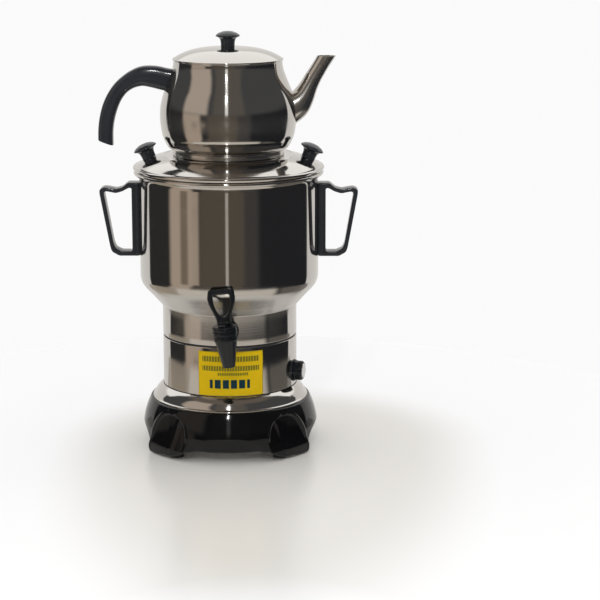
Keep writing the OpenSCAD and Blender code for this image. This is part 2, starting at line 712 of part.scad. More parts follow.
// The lever: a loop for a finger over a fork that holds the pin.
loop_r = lever_w / 2;
hole_r = loop_r - 6;
loop_z = lever_h - loop_r;
heel_r = 3;
module tap_lever() color("#121212") chamber_frame() difference() {
    translate([0, lever_t / 2, pin_z]) rotate([90, 0, 0]) linear_extrude(height = lever_t) difference() {
        hull() {
            translate([0, loop_z]) circle(r = loop_r, $fn = 48);
            translate([-fork_w / 2, -heel_r]) square([fork_w, 8]);
        }
        hull() {
            translate([0, loop_z + 0.7]) circle(r = hole_r, $fn = 32);
            translate([0, 9.4]) circle(r = 1, $fn = 16);
        }
    }
    translate([-rod_d / 2 - 0.25, -lever_t, pin_z - 10]) cube([rod_d + 0.5, 2 * lever_t, 14]);
    translate([0, 0, pin_z]) rotate([0, 90, 0]) cylinder(d = pin_d + 2 * run, h = fork_w + 2, center = true);
}

// ---------- Boiler lid ----------

cone_out = lid_r - 9;
roll_z = lid_z + lid_edge_h;
lid_side = concat(
    arc([cone_out, roll_z - 2.2 + 1.4], 7.4, 45, 68, 3),
    [[seat_r, ledge_z + 0.6], [seat_r - 1.5, ledge_z + 0.6], [seat_r - 2.5, ledge_z],
     [steam_d / 2, ledge_z], [steam_d / 2, ledge_z - 5]]);
// Slope of the lid's cone and the height of its surface at radius r.
cone_a = lid_side[3];
cone_b = [seat_r, ledge_z + 0.6];
lid_tilt = atan((cone_b.y - cone_a.y) / (cone_a.x - cone_b.x));
function cone_z(r) = cone_a.y + (cone_a.x - r) * tan(lid_tilt);

module at_lid_knob(side) translate([side * lid_knob_at, 0, cone_z(lid_knob_at)])
    rotate([0, side * lid_tilt, 0]) children();

ring_r = boiler_r - sheet - 1;
module boiler_lid() color("#d6d4cf") difference() {
    turned() {
        sheet_of(lid_side, sheet);
        // rolled edge
        polygon(concat([[boiler_r - 1, lid_z], [lid_r - 2, lid_z], [lid_r - 0.4, lid_z + 1.2], [lid_r, lid_z + 2.6],
                 [lid_r - 0.8, lid_z + 4]],
                [lid_side[0], lid_side[1], lid_side[0] - [4, 0.6], [boiler_r - 1, lid_z + 1.5]]));
        // centring ring
        translate([ring_r - sheet, lid_z - lid_ring_h]) square([sheet, cone_z(ring_r) - lid_z + lid_ring_h - sheet / 2]);
        translate([ring_r - sheet, lid_z]) square([boiler_r - ring_r + sheet, 1.5]);
    }
    for (s = [-1, 1]) at_lid_knob(s) translate([0, 0, -5]) cylinder(d = screw_d + 2 * run, h = 10);
}

// A turned knob that stands on z = 0, with a blind hole for its screw.
module turned_knob(h, foot) difference() {
    turned() {
        polygon(concat(
            [[0.01, 0], [foot, 0], [foot, 1]],
            smooth([[stem_d / 2 + 0.2, 2.4], [stem_d / 2, h * 0.38], [stem_d / 2 + 0.3, h - 8.4], [stem_d / 2 + 1.8, h - 6.4]], 2),
            [[cap_d / 2 - 0.8, h - 5], [cap_d / 2, h - 4.3], [cap_d / 2 - 1.4, h - 3]],
            [[cap_d / 2 - 4.4, h - 1.4], [cap_d / 4 - 1, h - 0.3], [0.01, h]]));
    }
    translate([0, 0, -over]) cylinder(d = screw_d, h = h - 6 + over);
}

module lid_knob_left() color("#161616") at_lid_knob(-1) turned_knob(knob_h, 8.2);
module lid_knob_right() color("#161616") at_lid_knob(1) turned_knob(knob_h, 8.2);
module lid_knob_screws() color("#b8b8b4") for (s = [-1, 1]) at_lid_knob(s)
    translate([0, 0, -sheet - 0.12]) screw_up(screw_d, 11);

// ---------- Teapot ----------

pot_knots = [[disc_d / 2 + 0.8, 0.4], [belly_r - 9.5, 4.6], [belly_r - 3.4, 17], [belly_r - 0.3, 31],
             [belly_r - 0.4, 47], [belly_r - 5.5, 66], [mouth_r + 4.6, 84], [mouth_r + 0.6, 96],
             [mouth_r, 104]];
pot_outer = concat([[0.01, pot_z], [disc_d / 2 - 1, pot_z]],
                   [for (p = smooth(pot_knots, 2)) [p.x, pot_z + p.y * pot_h / 104]]);

// The spout's path, out from the axis and up from the base disc.
spout_path = [for (p = smooth([[64, 44], [80, 51], [91, 66], [100, 84], [107, 96], [117, 112]], 2))
    [p.x * belly_r / 80.5, pot_z + p.y * pot_h / 104]];
spout_half = smooth([[19, 15], [17.6, 14], [12.8, 11.5], [10, 9], [9.5, 8.2], [9.4, 8]], 2);
spout_wall = 1.1;
spout_top = pot_z + 109.3 * pot_h / 104;

module spout_solid(inset) loft(rings_on(spout_path, [for (h = spout_half) h - [inset, inset]], 20, 1));

module pot_cavity() turned() polygon(concat(reversed(beside(pot_outer, pot_wall)),
    [[0.01, pot_z + pot_wall], [0.01, mouth_z]]));

grip_z = pot_z + grip_at;
stud_z = grip_z - 16.5;
// The stud runs along -X from inside the wall into the grip.
module at_stud() translate([0, 0, stud_z]) rotate([0, -90, 0]) children();
stud_in = mouth_r + 3;

strainer_at = [-2, -1, 0, 1, 2];
module teapot_body() color("#d6d4cf") difference() {
    turned() sheet_of(pot_outer, pot_wall);
    for (i = strainer_at, k = strainer_at) translate([0, i * 4.6, pot_z + 53 + k * 4.6]) rotate([0, 90, 0])
        translate([0, 0, belly_r - 20]) cylinder(d = 3, h = 40, $fn = 16);
    at_stud() translate([0, 0, mouth_r - 8]) cylinder(d = screw_d + 2 * run, h = 30);
}

module teapot_disc() color("#c4c2bc") translate([0, 0, disc_z]) {
    cylinder(d = disc_d, h = disc_h);
}

module teapot_spout() color("#d6d4cf") difference() {
    spout_solid(0);
    spout_solid(spout_wall);
    turned() polygon(concat([[0.01, pot_z - 1]], pot_outer, [[0.01, mouth_z]]));
    translate([belly_r, -30, spout_top]) cube([80, 60, 40]);
}

// Grip of the teapot: out from the neck, over and down.
grip_path = let (r = grip_reach - 9) smooth([[-mouth_r + 1, grip_z - 19], [-84, grip_z - 13],
    [-r + 40, grip_z - 12.6], [-r + 23, grip_z - 20.5], [-r + 9, grip_z - 38], [-r + 2, grip_z - 60],
    [-r, grip_z - 82], [-r + 0.6, grip_z - 91]], 2);
grip_sizes = smooth([[13, 10], [12.4, 9.4], [12, 9.6], [10.3, 10], [9.3, 10], [9, 10], [9, 9.8],
                     [8.8, 9.4]], 2);
module teapot_handle() color("#131313") difference() {
    loft(rings_on(grip_path, [for (s = grip_sizes) [s.x, s.y * grip_w / 20]], 20, 0.8));
    turned() polygon(concat([[0.01, pot_z - 1]], pot_outer, [[0.01, mouth_z]]));
    at_stud() cylinder(d = 6, h = belly_r + 14);
}

module handle_stud() color("#b8b8b4") {
    difference() {
        at_stud() translate([0, 0, mouth_r - 2]) cylinder(d = 6, h = belly_r + 14 - mouth_r + 2);
        turned() polygon(concat([[0.01, pot_z - 1]], pot_outer, [[0.01, mouth_z]]));
    }
    at_stud() translate([0, 0, mouth_r - 4]) cylinder(d = screw_d, h = 16);
    at_stud() translate([0, 0, mouth_r - 5]) cylinder(d = 9, h = 2.4);
}

pot_lid_r = pot_lid_d / 2;
dome_r = pot_lid_r - 1.4;
knob_seat_r = 10;
pot_lid_top = pot_lid_z + 2.4 + pot_dome;
pot_lid_side = concat([[pot_lid_r, pot_lid_z], [pot_lid_r, pot_lid_z + 1.4]],
    [for (i = [0:10]) let (u = 1 - pow(i / 10, 1.6))
        [knob_seat_r + (dome_r - knob_seat_r) * u, pot_lid_top - pot_dome * pow(u, pot_dome_curve)]],
    [[0.01, pot_lid_top]]);

module teapot_lid() color("#dbd9d4") difference() {
    turned() sheet_of(pot_lid_side, sheet);
    translate([0, 0, pot_lid_top - 6]) cylinder(d = screw_d + 2 * run, h = 12);
}

// A band spot-welded under the dome, which keeps the lid in the pot's mouth.
module teapot_lid_band() color("#c9c7c2") turned() difference() {
    translate([mouth_r - pot_wall - slack - sheet, pot_lid_z - 9]) square([sheet, 9 + pot_dome]);
    polygon(concat([for (q = beside(pot_lid_side, sheet)) [max(q.x, 0), q.y]],
        [[0, pot_lid_top + over], [pot_lid_r, pot_lid_top + over]]));
}

module teapot_lid_knob() color("#161616") translate([0, 0, pot_lid_top]) turned_knob(knob_h, 8.2);
module teapot_lid_screw() color("#b8b8b4") translate([0, 0, pot_lid_top - sheet - 0.2]) screw_up(screw_d, 12);

// ---------- Placement ----------

base_shell();
rubber_feet();
bottom_plate();
bottom_screws();
skirt_ring();
housing();
label_plate();
seam_seal();
tie_rods();
tie_nuts();
boiler_neck();
boiler_drum();
heating_element();
element_seals();
element_nuts();
dry_boil_cutout();
thermostat();
thermostat_screws();
dial_bezel();
spindle();
heat_knob();
knob_insert();
power_inlet();
inlet_pins();
inlet_screws();
inner_wires();
side_handle_left();
side_handle_right();
handle_screws();
handle_seals();
tap_body();
tap_bonnet();
tap_seals();
tap_nut();
tap_rod();
tap_cup();
tap_spring();
tap_pin();
tap_lever();
boiler_lid();
lid_knob_left();
lid_knob_right();
lid_knob_screws();
teapot_body();
teapot_disc();
teapot_spout();
teapot_handle();
handle_stud();
teapot_lid();
teapot_lid_band();
teapot_lid_knob();
teapot_lid_screw();
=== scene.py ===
# %% [markdown]
# # A samovar in polished steel and black plastic
# A samovar is a water boiler with a tap, and a teapot that keeps warm on its lid. Nearly all of it is sheet
# metal that was spun on a lathe, so nearly all of it can be made here by turning a drawn outline round the
# upright axis. The plastic parts are the exception: the base is pressed out of round by its four feet, and
# the grips are bars bent along a curve. The samovar's own lengths are in millimetres and are turned into
# metres by mm(). Those of the camera, the finishes and the room are in metres.

import json
import math

import bmesh
import bpy
from mathutils import Matrix, Vector


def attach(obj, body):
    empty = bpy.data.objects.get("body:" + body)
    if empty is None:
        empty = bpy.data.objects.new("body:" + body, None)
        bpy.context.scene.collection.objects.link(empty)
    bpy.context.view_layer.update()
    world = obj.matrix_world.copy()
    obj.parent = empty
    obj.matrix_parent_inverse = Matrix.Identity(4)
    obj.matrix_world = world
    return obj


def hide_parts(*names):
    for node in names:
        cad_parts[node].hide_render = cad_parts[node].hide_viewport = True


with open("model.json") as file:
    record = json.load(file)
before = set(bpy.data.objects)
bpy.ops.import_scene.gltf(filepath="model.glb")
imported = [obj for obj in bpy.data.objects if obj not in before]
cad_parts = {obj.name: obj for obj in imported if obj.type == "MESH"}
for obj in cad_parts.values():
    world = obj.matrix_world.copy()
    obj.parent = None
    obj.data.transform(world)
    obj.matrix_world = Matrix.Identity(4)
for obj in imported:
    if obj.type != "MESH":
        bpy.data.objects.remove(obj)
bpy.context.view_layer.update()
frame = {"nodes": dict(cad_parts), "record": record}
print("pieces in the frame:", len(frame["nodes"]))


def mm(*sizes):
    """Millimetres to metres: one number, or a tuple of them."""
    metres = tuple(s * 0.001 for s in sizes)
    return metres if len(metres) > 1 else metres[0]


# %% [markdown]
# ## The camera
# The camera stands a little over two metres away, slightly above the samovar and a hand's breadth to its
# right, and has a long lens. Such a lens keeps the sides of the boiler parallel, which suits a tall object.
# The camera looks down by about 12 degrees and isn't shifted, so the same camera works for every other view.

# %% Camera
CAMERA_TURN = math.radians(2.5)     # how far round to the right it stands
CAMERA_AWAY = 2.345                 # metres from the upright axis
CAMERA_HEIGHT = 0.686
CAMERA_PITCH = math.radians(12.3)
CAMERA_HEADING = math.radians(0.44)
FOCAL_LENGTH = 120                  # millimetres, on a sensor 36 mm wide
SENSOR_WIDTH = 36


def make_camera():
    data = bpy.data.cameras.new("camera")
    data.sensor_width = SENSOR_WIDTH
    data.lens = FOCAL_LENGTH
    data.clip_end = 30
    camera = bpy.data.objects.new("camera", data)
    bpy.context.collection.objects.link(camera)
    x, y = CAMERA_AWAY * math.sin(CAMERA_TURN), -CAMERA_AWAY * math.cos(CAMERA_TURN)
    turn = Matrix.Rotation(CAMERA_HEADING, 4, "Z") @ Matrix.Rotation(math.pi / 2 - CAMERA_PITCH, 4, "X")
    camera.matrix_world = Matrix.Translation((x, y, CAMERA_HEIGHT)) @ turn
    bpy.context.scene.camera = camera


make_camera()
bpy.context.scene.view_settings.view_transform = "Standard"

# %% [markdown]
# ## Writing a material as sums
# A material is a graph of nodes. Written by hand, a formula such as 0.1 + 0.05 * noise takes three nodes
# and four links. The class below wraps one socket of the graph, so that the same formula in Python adds
# those nodes by itself. Everything that isn't arithmetic goes through one method, Finish.node.


# %% A socket that can be added and multiplied
class Value:
    """One number of a material's graph. Arithmetic on it adds Math nodes."""

    def __init__(self, finish, socket):
        self.finish = finish
        self.socket = socket

    def math(self, operation, *others):
        values = dict(enumerate((self,) + others))
        return self.finish.node("ShaderNodeMath", {"operation": operation}, values)

    def from_number(self, operation, number):
        return self.finish.node("ShaderNodeMath", {"operation": operation}, {0: number, 1: self})

    def __add__(self, other):
        return self.math("ADD", other)

    def __sub__(self, other):
        return self.math("SUBTRACT", other)

    def __mul__(self, other):
        return self.math("MULTIPLY", other)

    def __truediv__(self, other):
        return self.math("DIVIDE", other)

    def __radd__(self, number):
        return self.from_number("ADD", number)

    def __rsub__(self, number):
        return self.from_number("SUBTRACT", number)

    def __rmul__(self, number):
        return self.from_number("MULTIPLY", number)

    def step(self, edge, soft):
        """0 below the edge and 1 above it, with a soft change between."""
        return self.finish.node("ShaderNodeMapRange", {"interpolation_type": "SMOOTHSTEP"},
                                {"Value": self, "From Min": edge - soft, "From Max": edge + soft})

    def between(self, low, high, soft):
        """1 from low to high, and 0 outside."""
        return self.step(low, soft) * (1 - self.step(high, soft))


# %% A material or a world that builds its own graph
GENERATED, UV, OBJECT = 0, 2, 3     # outputs of a Texture Coordinate node
TO_CAMERA, TO_GLOSS = 0, 3          # outputs of a Light Path node


class Finish:
    """A node graph with a Principled surface, and one method that adds any node."""

    def __init__(self, name, tree=None, **surface):
        if tree is None:
            self.material = bpy.data.materials.new(name)
            self.material.use_nodes = True
            tree = self.material.node_tree
        self.tree = tree
        self.shader = next((n for n in tree.nodes if n.type == "BSDF_PRINCIPLED"), None)
        for socket, value in surface.items():
            self.set(socket.replace("_", " "), value)

    def set(self, socket, value):
        """Sets one input of the surface, to a number, a colour or a Value."""
        self.plug(self.shader.inputs[socket], value)

    def plug(self, target, value):
        if isinstance(value, Value):
            self.tree.links.new(value.socket, target)
        elif hasattr(target.default_value, "__len__") and len(value) == 3 and len(target.default_value) == 4:
            target.default_value = (*value, 1)
        else:
            target.default_value = value

    def node(self, kind, settings=None, inputs=None, out=0):
        """Adds a node: first its settings, then the values or links of its sockets."""
        made = self.tree.nodes.new(kind)
        for name, value in (settings or {}).items():
            setattr(made, name, value)
        for name, value in (inputs or {}).items():
            self.plug(made.inputs[name], value)
        return Value(self, made.outputs[out])

    def place(self, scale=(1, 1, 1)):
        """The point on the piece, in metres, stretched by scale."""
        point = self.node("ShaderNodeTexCoord", out=OBJECT)
        return self.node("ShaderNodeMapping", {}, {"Vector": point, "Scale": scale})

    def parts(self, space):
        """The x, y and z of the point in one of the spaces above."""
        point = self.node("ShaderNodeTexCoord", out=space)
        return [self.node("ShaderNodeSeparateXYZ", {}, {0: point}, out=i) for i in range(3)]

    def noise(self, scale, detail=3, stretch=(1, 1, 1)):
        """Cloudy values round 0.5."""
        return self.node("ShaderNodeTexNoise", {}, {"Vector": self.place(stretch), "Scale": scale,
                                                    "Detail": detail})

    def blend(self, amount, low, high):
        """Mixes two colours by an amount between 0 and 1."""
        return self.node("ShaderNodeMix", {"data_type": "RGBA"}, {0: amount, 6: low, 7: high}, out=2)

    def bump(self, height, distance, strength):
        """Turns a height into a tilt of the surface."""
        tilt = {"Height": height, "Distance": distance, "Strength": strength}
        self.set("Normal", self.node("ShaderNodeBump", {}, tilt))


# %% [markdown]
# ## Steel
# Spun stainless steel is a mirror that isn't quite perfect. The polishing wheel leaves rings that are too
# fine to see singly and that draw a bright lamp out into a line across them, and handling leaves faint
# smudges. So the steel is a metal with a low roughness, a bump of very flat rings, and a cloudy change of
# roughness. The wheel doesn't reach into the hollow under the boiler's shoulder, so a band of the boiler
# stays duller, and so does a band round the widest part of the teapot, where hands and cloths rub it.


# %% Steel finishes
RING_DEPTH = 0.00006     # metres


def steel(name, colour=(0.60, 0.58, 0.552), rough=0.08, rings=0.5, drawn=0.75, dull=None):
    """Spun steel. dull gives the two heights of a rougher band, in metres, and how much rougher it is."""
    finish = Finish(name, Base_Color=colour, Metallic=1.0, Anisotropic=drawn, Anisotropic_Rotation=0.25)
    smudge = finish.noise(9, detail=4, stretch=(1, 1, 0.6))
    unpolished = 0
    if dull:
        low, high, rougher = dull
        unpolished = finish.parts(OBJECT)[2].between(low, high, 0.006) * rougher
    finish.set("Roughness", smudge * rough * 0.5 + rough * 0.75 + unpolished)
    groove = finish.noise(1, detail=2, stretch=(3, 3, 1100))     # squeezed along the axis into rings
    wave = finish.noise(14, detail=1)
    finish.bump(groove * 0.35 + wave * 0.65, RING_DEPTH, rings)
    return finish.material


polished_steel = steel("polished_steel")
boiler_steel = steel("boiler_steel", dull=(0.168, 0.200, 0.17))
pot_steel = steel("pot_steel", rough=0.065, rings=0.3, drawn=0.8, dull=(0.384, 0.402, 0.11))
spout_steel = steel("spout_steel", colour=(0.66, 0.64, 0.61), rough=0.17, rings=0.3, drawn=0.3)
turned_steel = steel("turned_steel", rough=0.2, rings=1.0)
for made in (polished_steel, boiler_steel, pot_steel, spout_steel, turned_steel):
    print("steel finish:", made.name)

# %% [markdown]
# ## Black plastic
# The base is moulded in a hard glossy plastic, and its skin has the slight waviness of a moulding. The
# grips, the knobs and the tap are phenolic, which is duller and has a very fine grain, with a little wear
# that lightens its colour.


# %% Black finishes
def shades(colour, vary):
    """A darker and a lighter shade of a colour."""
    return tuple(c * (1 - vary) for c in colour), tuple(min(1, c * (1 + vary)) for c in colour)


def black(name, rough, colour, grain, shine=0.5):
    """Moulded plastic. grain is the scale and the depth, in metres, of its surface."""
    finish = Finish(name, Specular_IOR_Level=shine)
    finish.set("Base Color", finish.blend(finish.noise(40, detail=5), *shades(colour, 0.3)))
    finish.set("Roughness", rough * 0.8 + rough * 0.4 * finish.noise(25, detail=3))
    scale, depth = grain
    finish.bump(finish.noise(scale, detail=2), depth, 0.4)
    return finish.material


gloss_black = black("gloss_black", 0.07, (0.003, 0.003, 0.0035), (60, 0.00006), shine=0.36)
satin_black = black("satin_black", 0.14, (0.018, 0.0205, 0.025), (900, 0.00002), shine=0.5)
tap_black = black("tap_black", 0.15, (0.005, 0.0065, 0.008), (900, 0.00002), shine=0.4)
rubber_black = black("rubber_black", 0.7, (0.018, 0.018, 0.018), (500, 0.00006))


# %% [markdown]
# ## Finishes for the small parts
# Brass, zinc-plated screws, silicone and ceramic are only seen in glimpses, but each still has its own
# colour, a roughness that varies and a fine grain.


# %% Small finishes
def plain(name, colour, rough, metallic=0.0, vary=0.25, grain=300):
    finish = Finish(name, Metallic=metallic)
    finish.set("Base Color", finish.blend(finish.noise(60, detail=4), *shades(colour, vary)))
    finish.set("Roughness", rough * 0.8 + rough * 0.4 * finish.noise(80))
    finish.bump(finish.noise(grain, detail=2), 0.00004, 0.5)
    return finish.material


slot_finish = {
    "black_base": gloss_black,
    "black_grip": satin_black,
    "polished_steel": polished_steel,
    "zinc_steel": plain("zinc_steel", (0.6, 0.6, 0.57), 0.3, metallic=1.0, vary=0.1),
    "element_steel": plain("element_steel", (0.38, 0.35, 0.31), 0.42, metallic=1.0),
    "black_rubber": rubber_black,
    "red_rubber": plain("red_rubber", (0.33, 0.06, 0.035), 0.6),
    "brass": plain("brass", (0.66, 0.48, 0.2), 0.28, metallic=1.0, vary=0.1),
    "wire_jacket": plain("wire_jacket", (0.38, 0.07, 0.04), 0.75, grain=1500),
    "cream_ceramic": plain("cream_ceramic", (0.74, 0.69, 0.58), 0.25, vary=0.06),
    "yellow_label": plain("yellow_film", (0.78, 0.55, 0.02), 0.3, vary=0.03),
    "silver_cap": plain("silver_cap", (0.72, 0.72, 0.73), 0.25, metallic=1.0, vary=0.05),
}

# %% [markdown]
# ## Turning an outline on the lathe
# All the steel shells start from one closed outline of the sheet, drawn on one side of the axis. A bmesh
# holds its points and edges, and the spin operator carries them round the axis. An outline given by its
# corners would have knife edges, which no pressed sheet has, so each corner can ask for a radius.

# %% Outlines
AROUND = 192     # steps of a full turn


def rounded(corners, steps=4):
    """Points of an outline in millimetres. A corner (r, z, radius) is rounded by that radius."""
    out = []
    for i, corner in enumerate(corners):
        here = Vector(corner[:2])
        if len(corner) < 3 or i in (0, len(corners) - 1):
            out.append(here)
            continue
        back = Vector(corners[i - 1][:2]) - here
        ahead = Vector(corners[i + 1][:2]) - here
        half = back.angle(ahead) / 2
        trim = min(corner[2] / math.tan(half), back.length * 0.49, ahead.length * 0.49)
        start, end = here + back.normalized() * trim, here + ahead.normalized() * trim
        for k in range(steps + 1):
            t = k / steps
            out.append(start.lerp(here, t).lerp(here.lerp(end, t), t))
    return out


def smooth(knots, steps=4):
    """A smooth curve through knots of any dimension."""
    points = [Vector(k) for k in knots]
    ends = [2 * points[0] - points[1]] + points + [2 * points[-1] - points[-2]]
    out = []
    for a, b, c, d in zip(ends, ends[1:], ends[2:], ends[3:]):
        for k in range(steps):
            t = k / steps
            out.append(0.5 * (2 * b + (c - a) * t + (2 * a - 5 * b + 4 * c - d) * t * t
                              + (3 * b - a - 3 * c + d) * t ** 3))
    return out + [points[-1]]


def sheet_outline(outside, thick):
    """Closes an outline with the inner face of a sheet, which lies on the axis side of the outside."""
    inner = []
    for i, point in enumerate(outside):
        before, after = outside[max(0, i - 1)], outside[min(len(outside) - 1, i + 1)]
        along = (after - before).normalized()
        shifted = point + Vector((-along.y, along.x)) * thick
        inner.append(Vector((max(0.0, shifted.x), shifted.y)))
    return outside + inner[::-1]


# %% From a bmesh to a finished piece
pieces = []


def piece(name, mesh, body, finish, replaced, sharp=40, place=None):
    """Ends a bmesh: merges, turns its faces outwards, shades it, and says what it stands for."""
    bmesh.ops.remove_doubles(mesh, verts=mesh.verts, dist=1e-6)
    bmesh.ops.recalc_face_normals(mesh, faces=mesh.faces)
    if place is not None:
        bmesh.ops.transform(mesh, matrix=place, verts=mesh.verts)
    for face in mesh.faces:
        face.smooth = True
    for edge in mesh.edges:
        edge.smooth = len(edge.link_faces) == 2 and edge.calc_face_angle(0) < math.radians(sharp)
    data = bpy.data.meshes.new(name)
    mesh.to_mesh(data)
    mesh.free()
    data.materials.append(finish)
    made = bpy.data.objects.new(name, data)
    bpy.context.collection.objects.link(made)
    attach(made, body)
    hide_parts(*replaced)
    pieces.append(made)


def verts_of(geometry):
    """The new points among what an operator made."""
    return [part for part in geometry if isinstance(part, bmesh.types.BMVert)]


def add_mesh(mesh, other):
    """Puts what is in the bmesh other into mesh as well."""
    data = bpy.data.meshes.new("other")
    other.to_mesh(data)
    other.free()
    mesh.from_mesh(data)
    bpy.data.meshes.remove(data)


def cut(mesh, spot, normal):
    """Cuts off what lies past a plane through spot, on the side that normal points to."""
    bmesh.ops.bisect_plane(mesh, geom=mesh.verts[:] + mesh.edges[:] + mesh.faces[:], plane_co=mm(*spot),
                           plane_no=normal, clear_outer=True)


def lathe(outline, closed=True, around=AROUND):
    """A bmesh turned round the upright axis from points (r, z) in millimetres."""
    mesh = bmesh.new()
    verts = [mesh.verts.new(mm(max(p[0], 0.0), 0, p[1])) for p in outline]
    pairs = list(zip(verts, verts[1:])) + ([(verts[-1], verts[0])] if closed else [])
    edges = [mesh.edges.new(pair) for pair in pairs if (pair[0].co - pair[1].co).length > 1e-9]
    bmesh.ops.spin(mesh, geom=verts + edges, cent=(0, 0, 0), axis=(0, 0, 1), angle=2 * math.pi,
                   steps=around, use_merge=True)
    bmesh.ops.remove_doubles(mesh, verts=mesh.verts, dist=2e-6)
    return mesh


# %% [markdown]
# ## The boiler
# The boiler is one deep spun vessel: a neck that plugs onto the housing, a sloping shoulder, a wide wall
# and a rolled bead that stiffens the rim. The outline runs up the outside and comes back down the inside a
# millimetre in.

# %% Boiler
SHEET = 1.0      # thickness of the steel
SEAM_Z = 136.6
NECK_Z = 172.6
RIM_Z = 333.6
vessel_outside = ([Vector((0, SEAM_Z)), Vector((76.5, SEAM_Z))]
                  + rounded([(76.5, SEAM_Z), (80, SEAM_Z, 2.5), (80, SEAM_Z + 8)])[1:]
                  + rounded([(80, 160), (80, NECK_Z, 1.6), (86.5, 179.6)])[1:]
                  + smooth([(88, 181.6), (94.5, 188.6), (100.2, 194.6), (104.2, 200.4), (106, 207)])
                  + [Vector((106, z)) for z in (215, 240, 270, 300, 322)]
                  + smooth([(106.2, 325.6), (107.4, 328.2), (109.6, 328.4)], 3)
                  + smooth([(111.6, 329.3), (112.2, 331), (111.6, 332.7), (109.6, RIM_Z), (107.6, 332.7)], 3))
vessel_inside = [Vector(p) for p in ((106.6, 330.6), (105, 326), (105, 207), (103.2, 200.8), (99.4, 195.3),
                                     (79, 173.4), (79, 141), (77.2, 137.6), (0, 137.6))]
piece("boiler_shell", lathe(vessel_outside + vessel_inside), "samovar", boiler_steel,
      ["boiler_neck", "boiler_drum"])
print("boiler outline:", len(vessel_outside), "points outside")

# %% [markdown]
# ## Housing, skirt and seam
# Under the boiler a straight steel drum hides the heater's wiring. It stands on a flared skirt whose rim is
# dressed to a narrow band, and a dark gasket fills the seam between the drum and the boiler.

# %% Housing, skirt and seam seal
HOUSING_R = 80.0
SKIRT_Z = 59.0
HOUSING_Z = 76.0
housing_outside = rounded([(HOUSING_R - 0.6, 76.05), (HOUSING_R, 77, 0.4), (HOUSING_R, 135, 1.2),
                           (71, 135)], 3)
piece("housing_drum", lathe(sheet_outline(housing_outside, SHEET)), "samovar", polished_steel,
      ["housing"])
skirt_outside = (rounded([(93, SKIRT_Z), (93, 61.3, 0.8), (91.4, 62.4, 0.8), (90.2, 64.4)], 3)
                 + smooth([(89.4, 66.4), (87.2, 69.8), (84.6, 72.6), (82.2, 74.6), (80.4, 75.9)]))
piece("skirt_flare", lathe(sheet_outline(skirt_outside, SHEET)), "samovar", polished_steel,
      ["skirt_ring"])
seam = rounded([(71, 135.1), (79.3, 135.1, 0.5), (79.3, 136.5, 0.5), (71, 136.5)], 3)
piece("seam_gasket", lathe(seam), "samovar", rubber_black, ["seam_seal"])

# %% [markdown]
# ## The boiler's lid
# The lid slopes up to a low ridge that keeps the teapot in the middle, and inside the ridge lies the flat
# seat with the steam hole. The edge is rolled over, and a ring below it drops into the boiler.

# %% Boiler lid
LID_Z = 333.9
SEAT_Z = 351.3
lid_outside = (rounded([(110, LID_Z), (112.2, LID_Z + 0.5, 1.2), (113.2, LID_Z + 3.4, 1.6),
                        (111.4, LID_Z + 5.1, 1.2), (109, LID_Z + 5.2)])
               + smooth([(107.8, 339.7), (104.5, 341.5), (100, 343.9), (95, 346.2), (90, 348), (85, 349.5),
                         (79.2, 351)])
               + rounded([(78.6, 351.2), (77.4, 351.9, 0.8), (75.8, 351.9, 0.8), (74.6, SEAT_Z, 0.8),
                          (72, SEAT_Z)])
               + rounded([(56, SEAT_Z), (52, SEAT_Z, 1.5), (52, SEAT_Z - 5)]))
lid_inside = [Vector(p) for p in ((51, SEAT_Z - 5), (51, SEAT_Z - 1), (75, SEAT_Z - 1), (78, 350.1),
                                  (97, 342.7), (103, 340.3), (103, 325), (104, 323.9), (104, 335.2),
                                  (110.5, 334.9))]
piece("lid_shell", lathe(lid_outside + lid_inside), "lid", polished_steel, ["boiler_lid"])

# %% [markdown]
# ## Knobs
# The three lifting knobs are one turned shape: a nearly straight stem that opens into a wide cap with a
# domed top. The two on the boiler's lid stand square to its slope, so they lean outwards.

# %% Knobs
LID_SLOPE = math.radians(23.4)
LID_KNOB_AT = 93.5
knob_outline = (rounded([(0, 0), (8.3, 0, 0.4), (8.2, 0.8, 0.2)])
                + smooth([(8.15, 1.4), (8.3, 4.8), (8.8, 7.7), (9.7, 9.7), (11.4, 11.1)], 5)
                + rounded([(12.2, 11.5), (13.8, 12.1, 0.5), (14.3, 12.8, 0.6), (13.8, 13.8, 0.8),
                           (11, 16, 5), (5.5, 18, 8), (0, 18.5)], 5))


def lifting_knob(name, body, node, place):
    piece(name, lathe(knob_outline, closed=False, around=64), body, satin_black, [node],
          place=place)


for side, name in ((-1, "left"), (1, "right")):
    lean = Matrix.Translation(mm(side * LID_KNOB_AT, 0, 346.7)) @ Matrix.Rotation(side * LID_SLOPE, 4, "Y")
    lifting_knob("lid_knob_" + name + "_turned", "lid", "lid_knob_" + name, lean)
COVER_TOP = 477.6
lifting_knob("pot_knob_turned", "pot_cover", "teapot_lid_knob", Matrix.Translation(mm(0, 0, COVER_TOP)))

# %% [markdown]
# ## The teapot
# The body is a spun bowl, widest below the middle and drawn in to a straight mouth. It stands on a thick
# sandwich base disc, and its lid is a shallow dome.

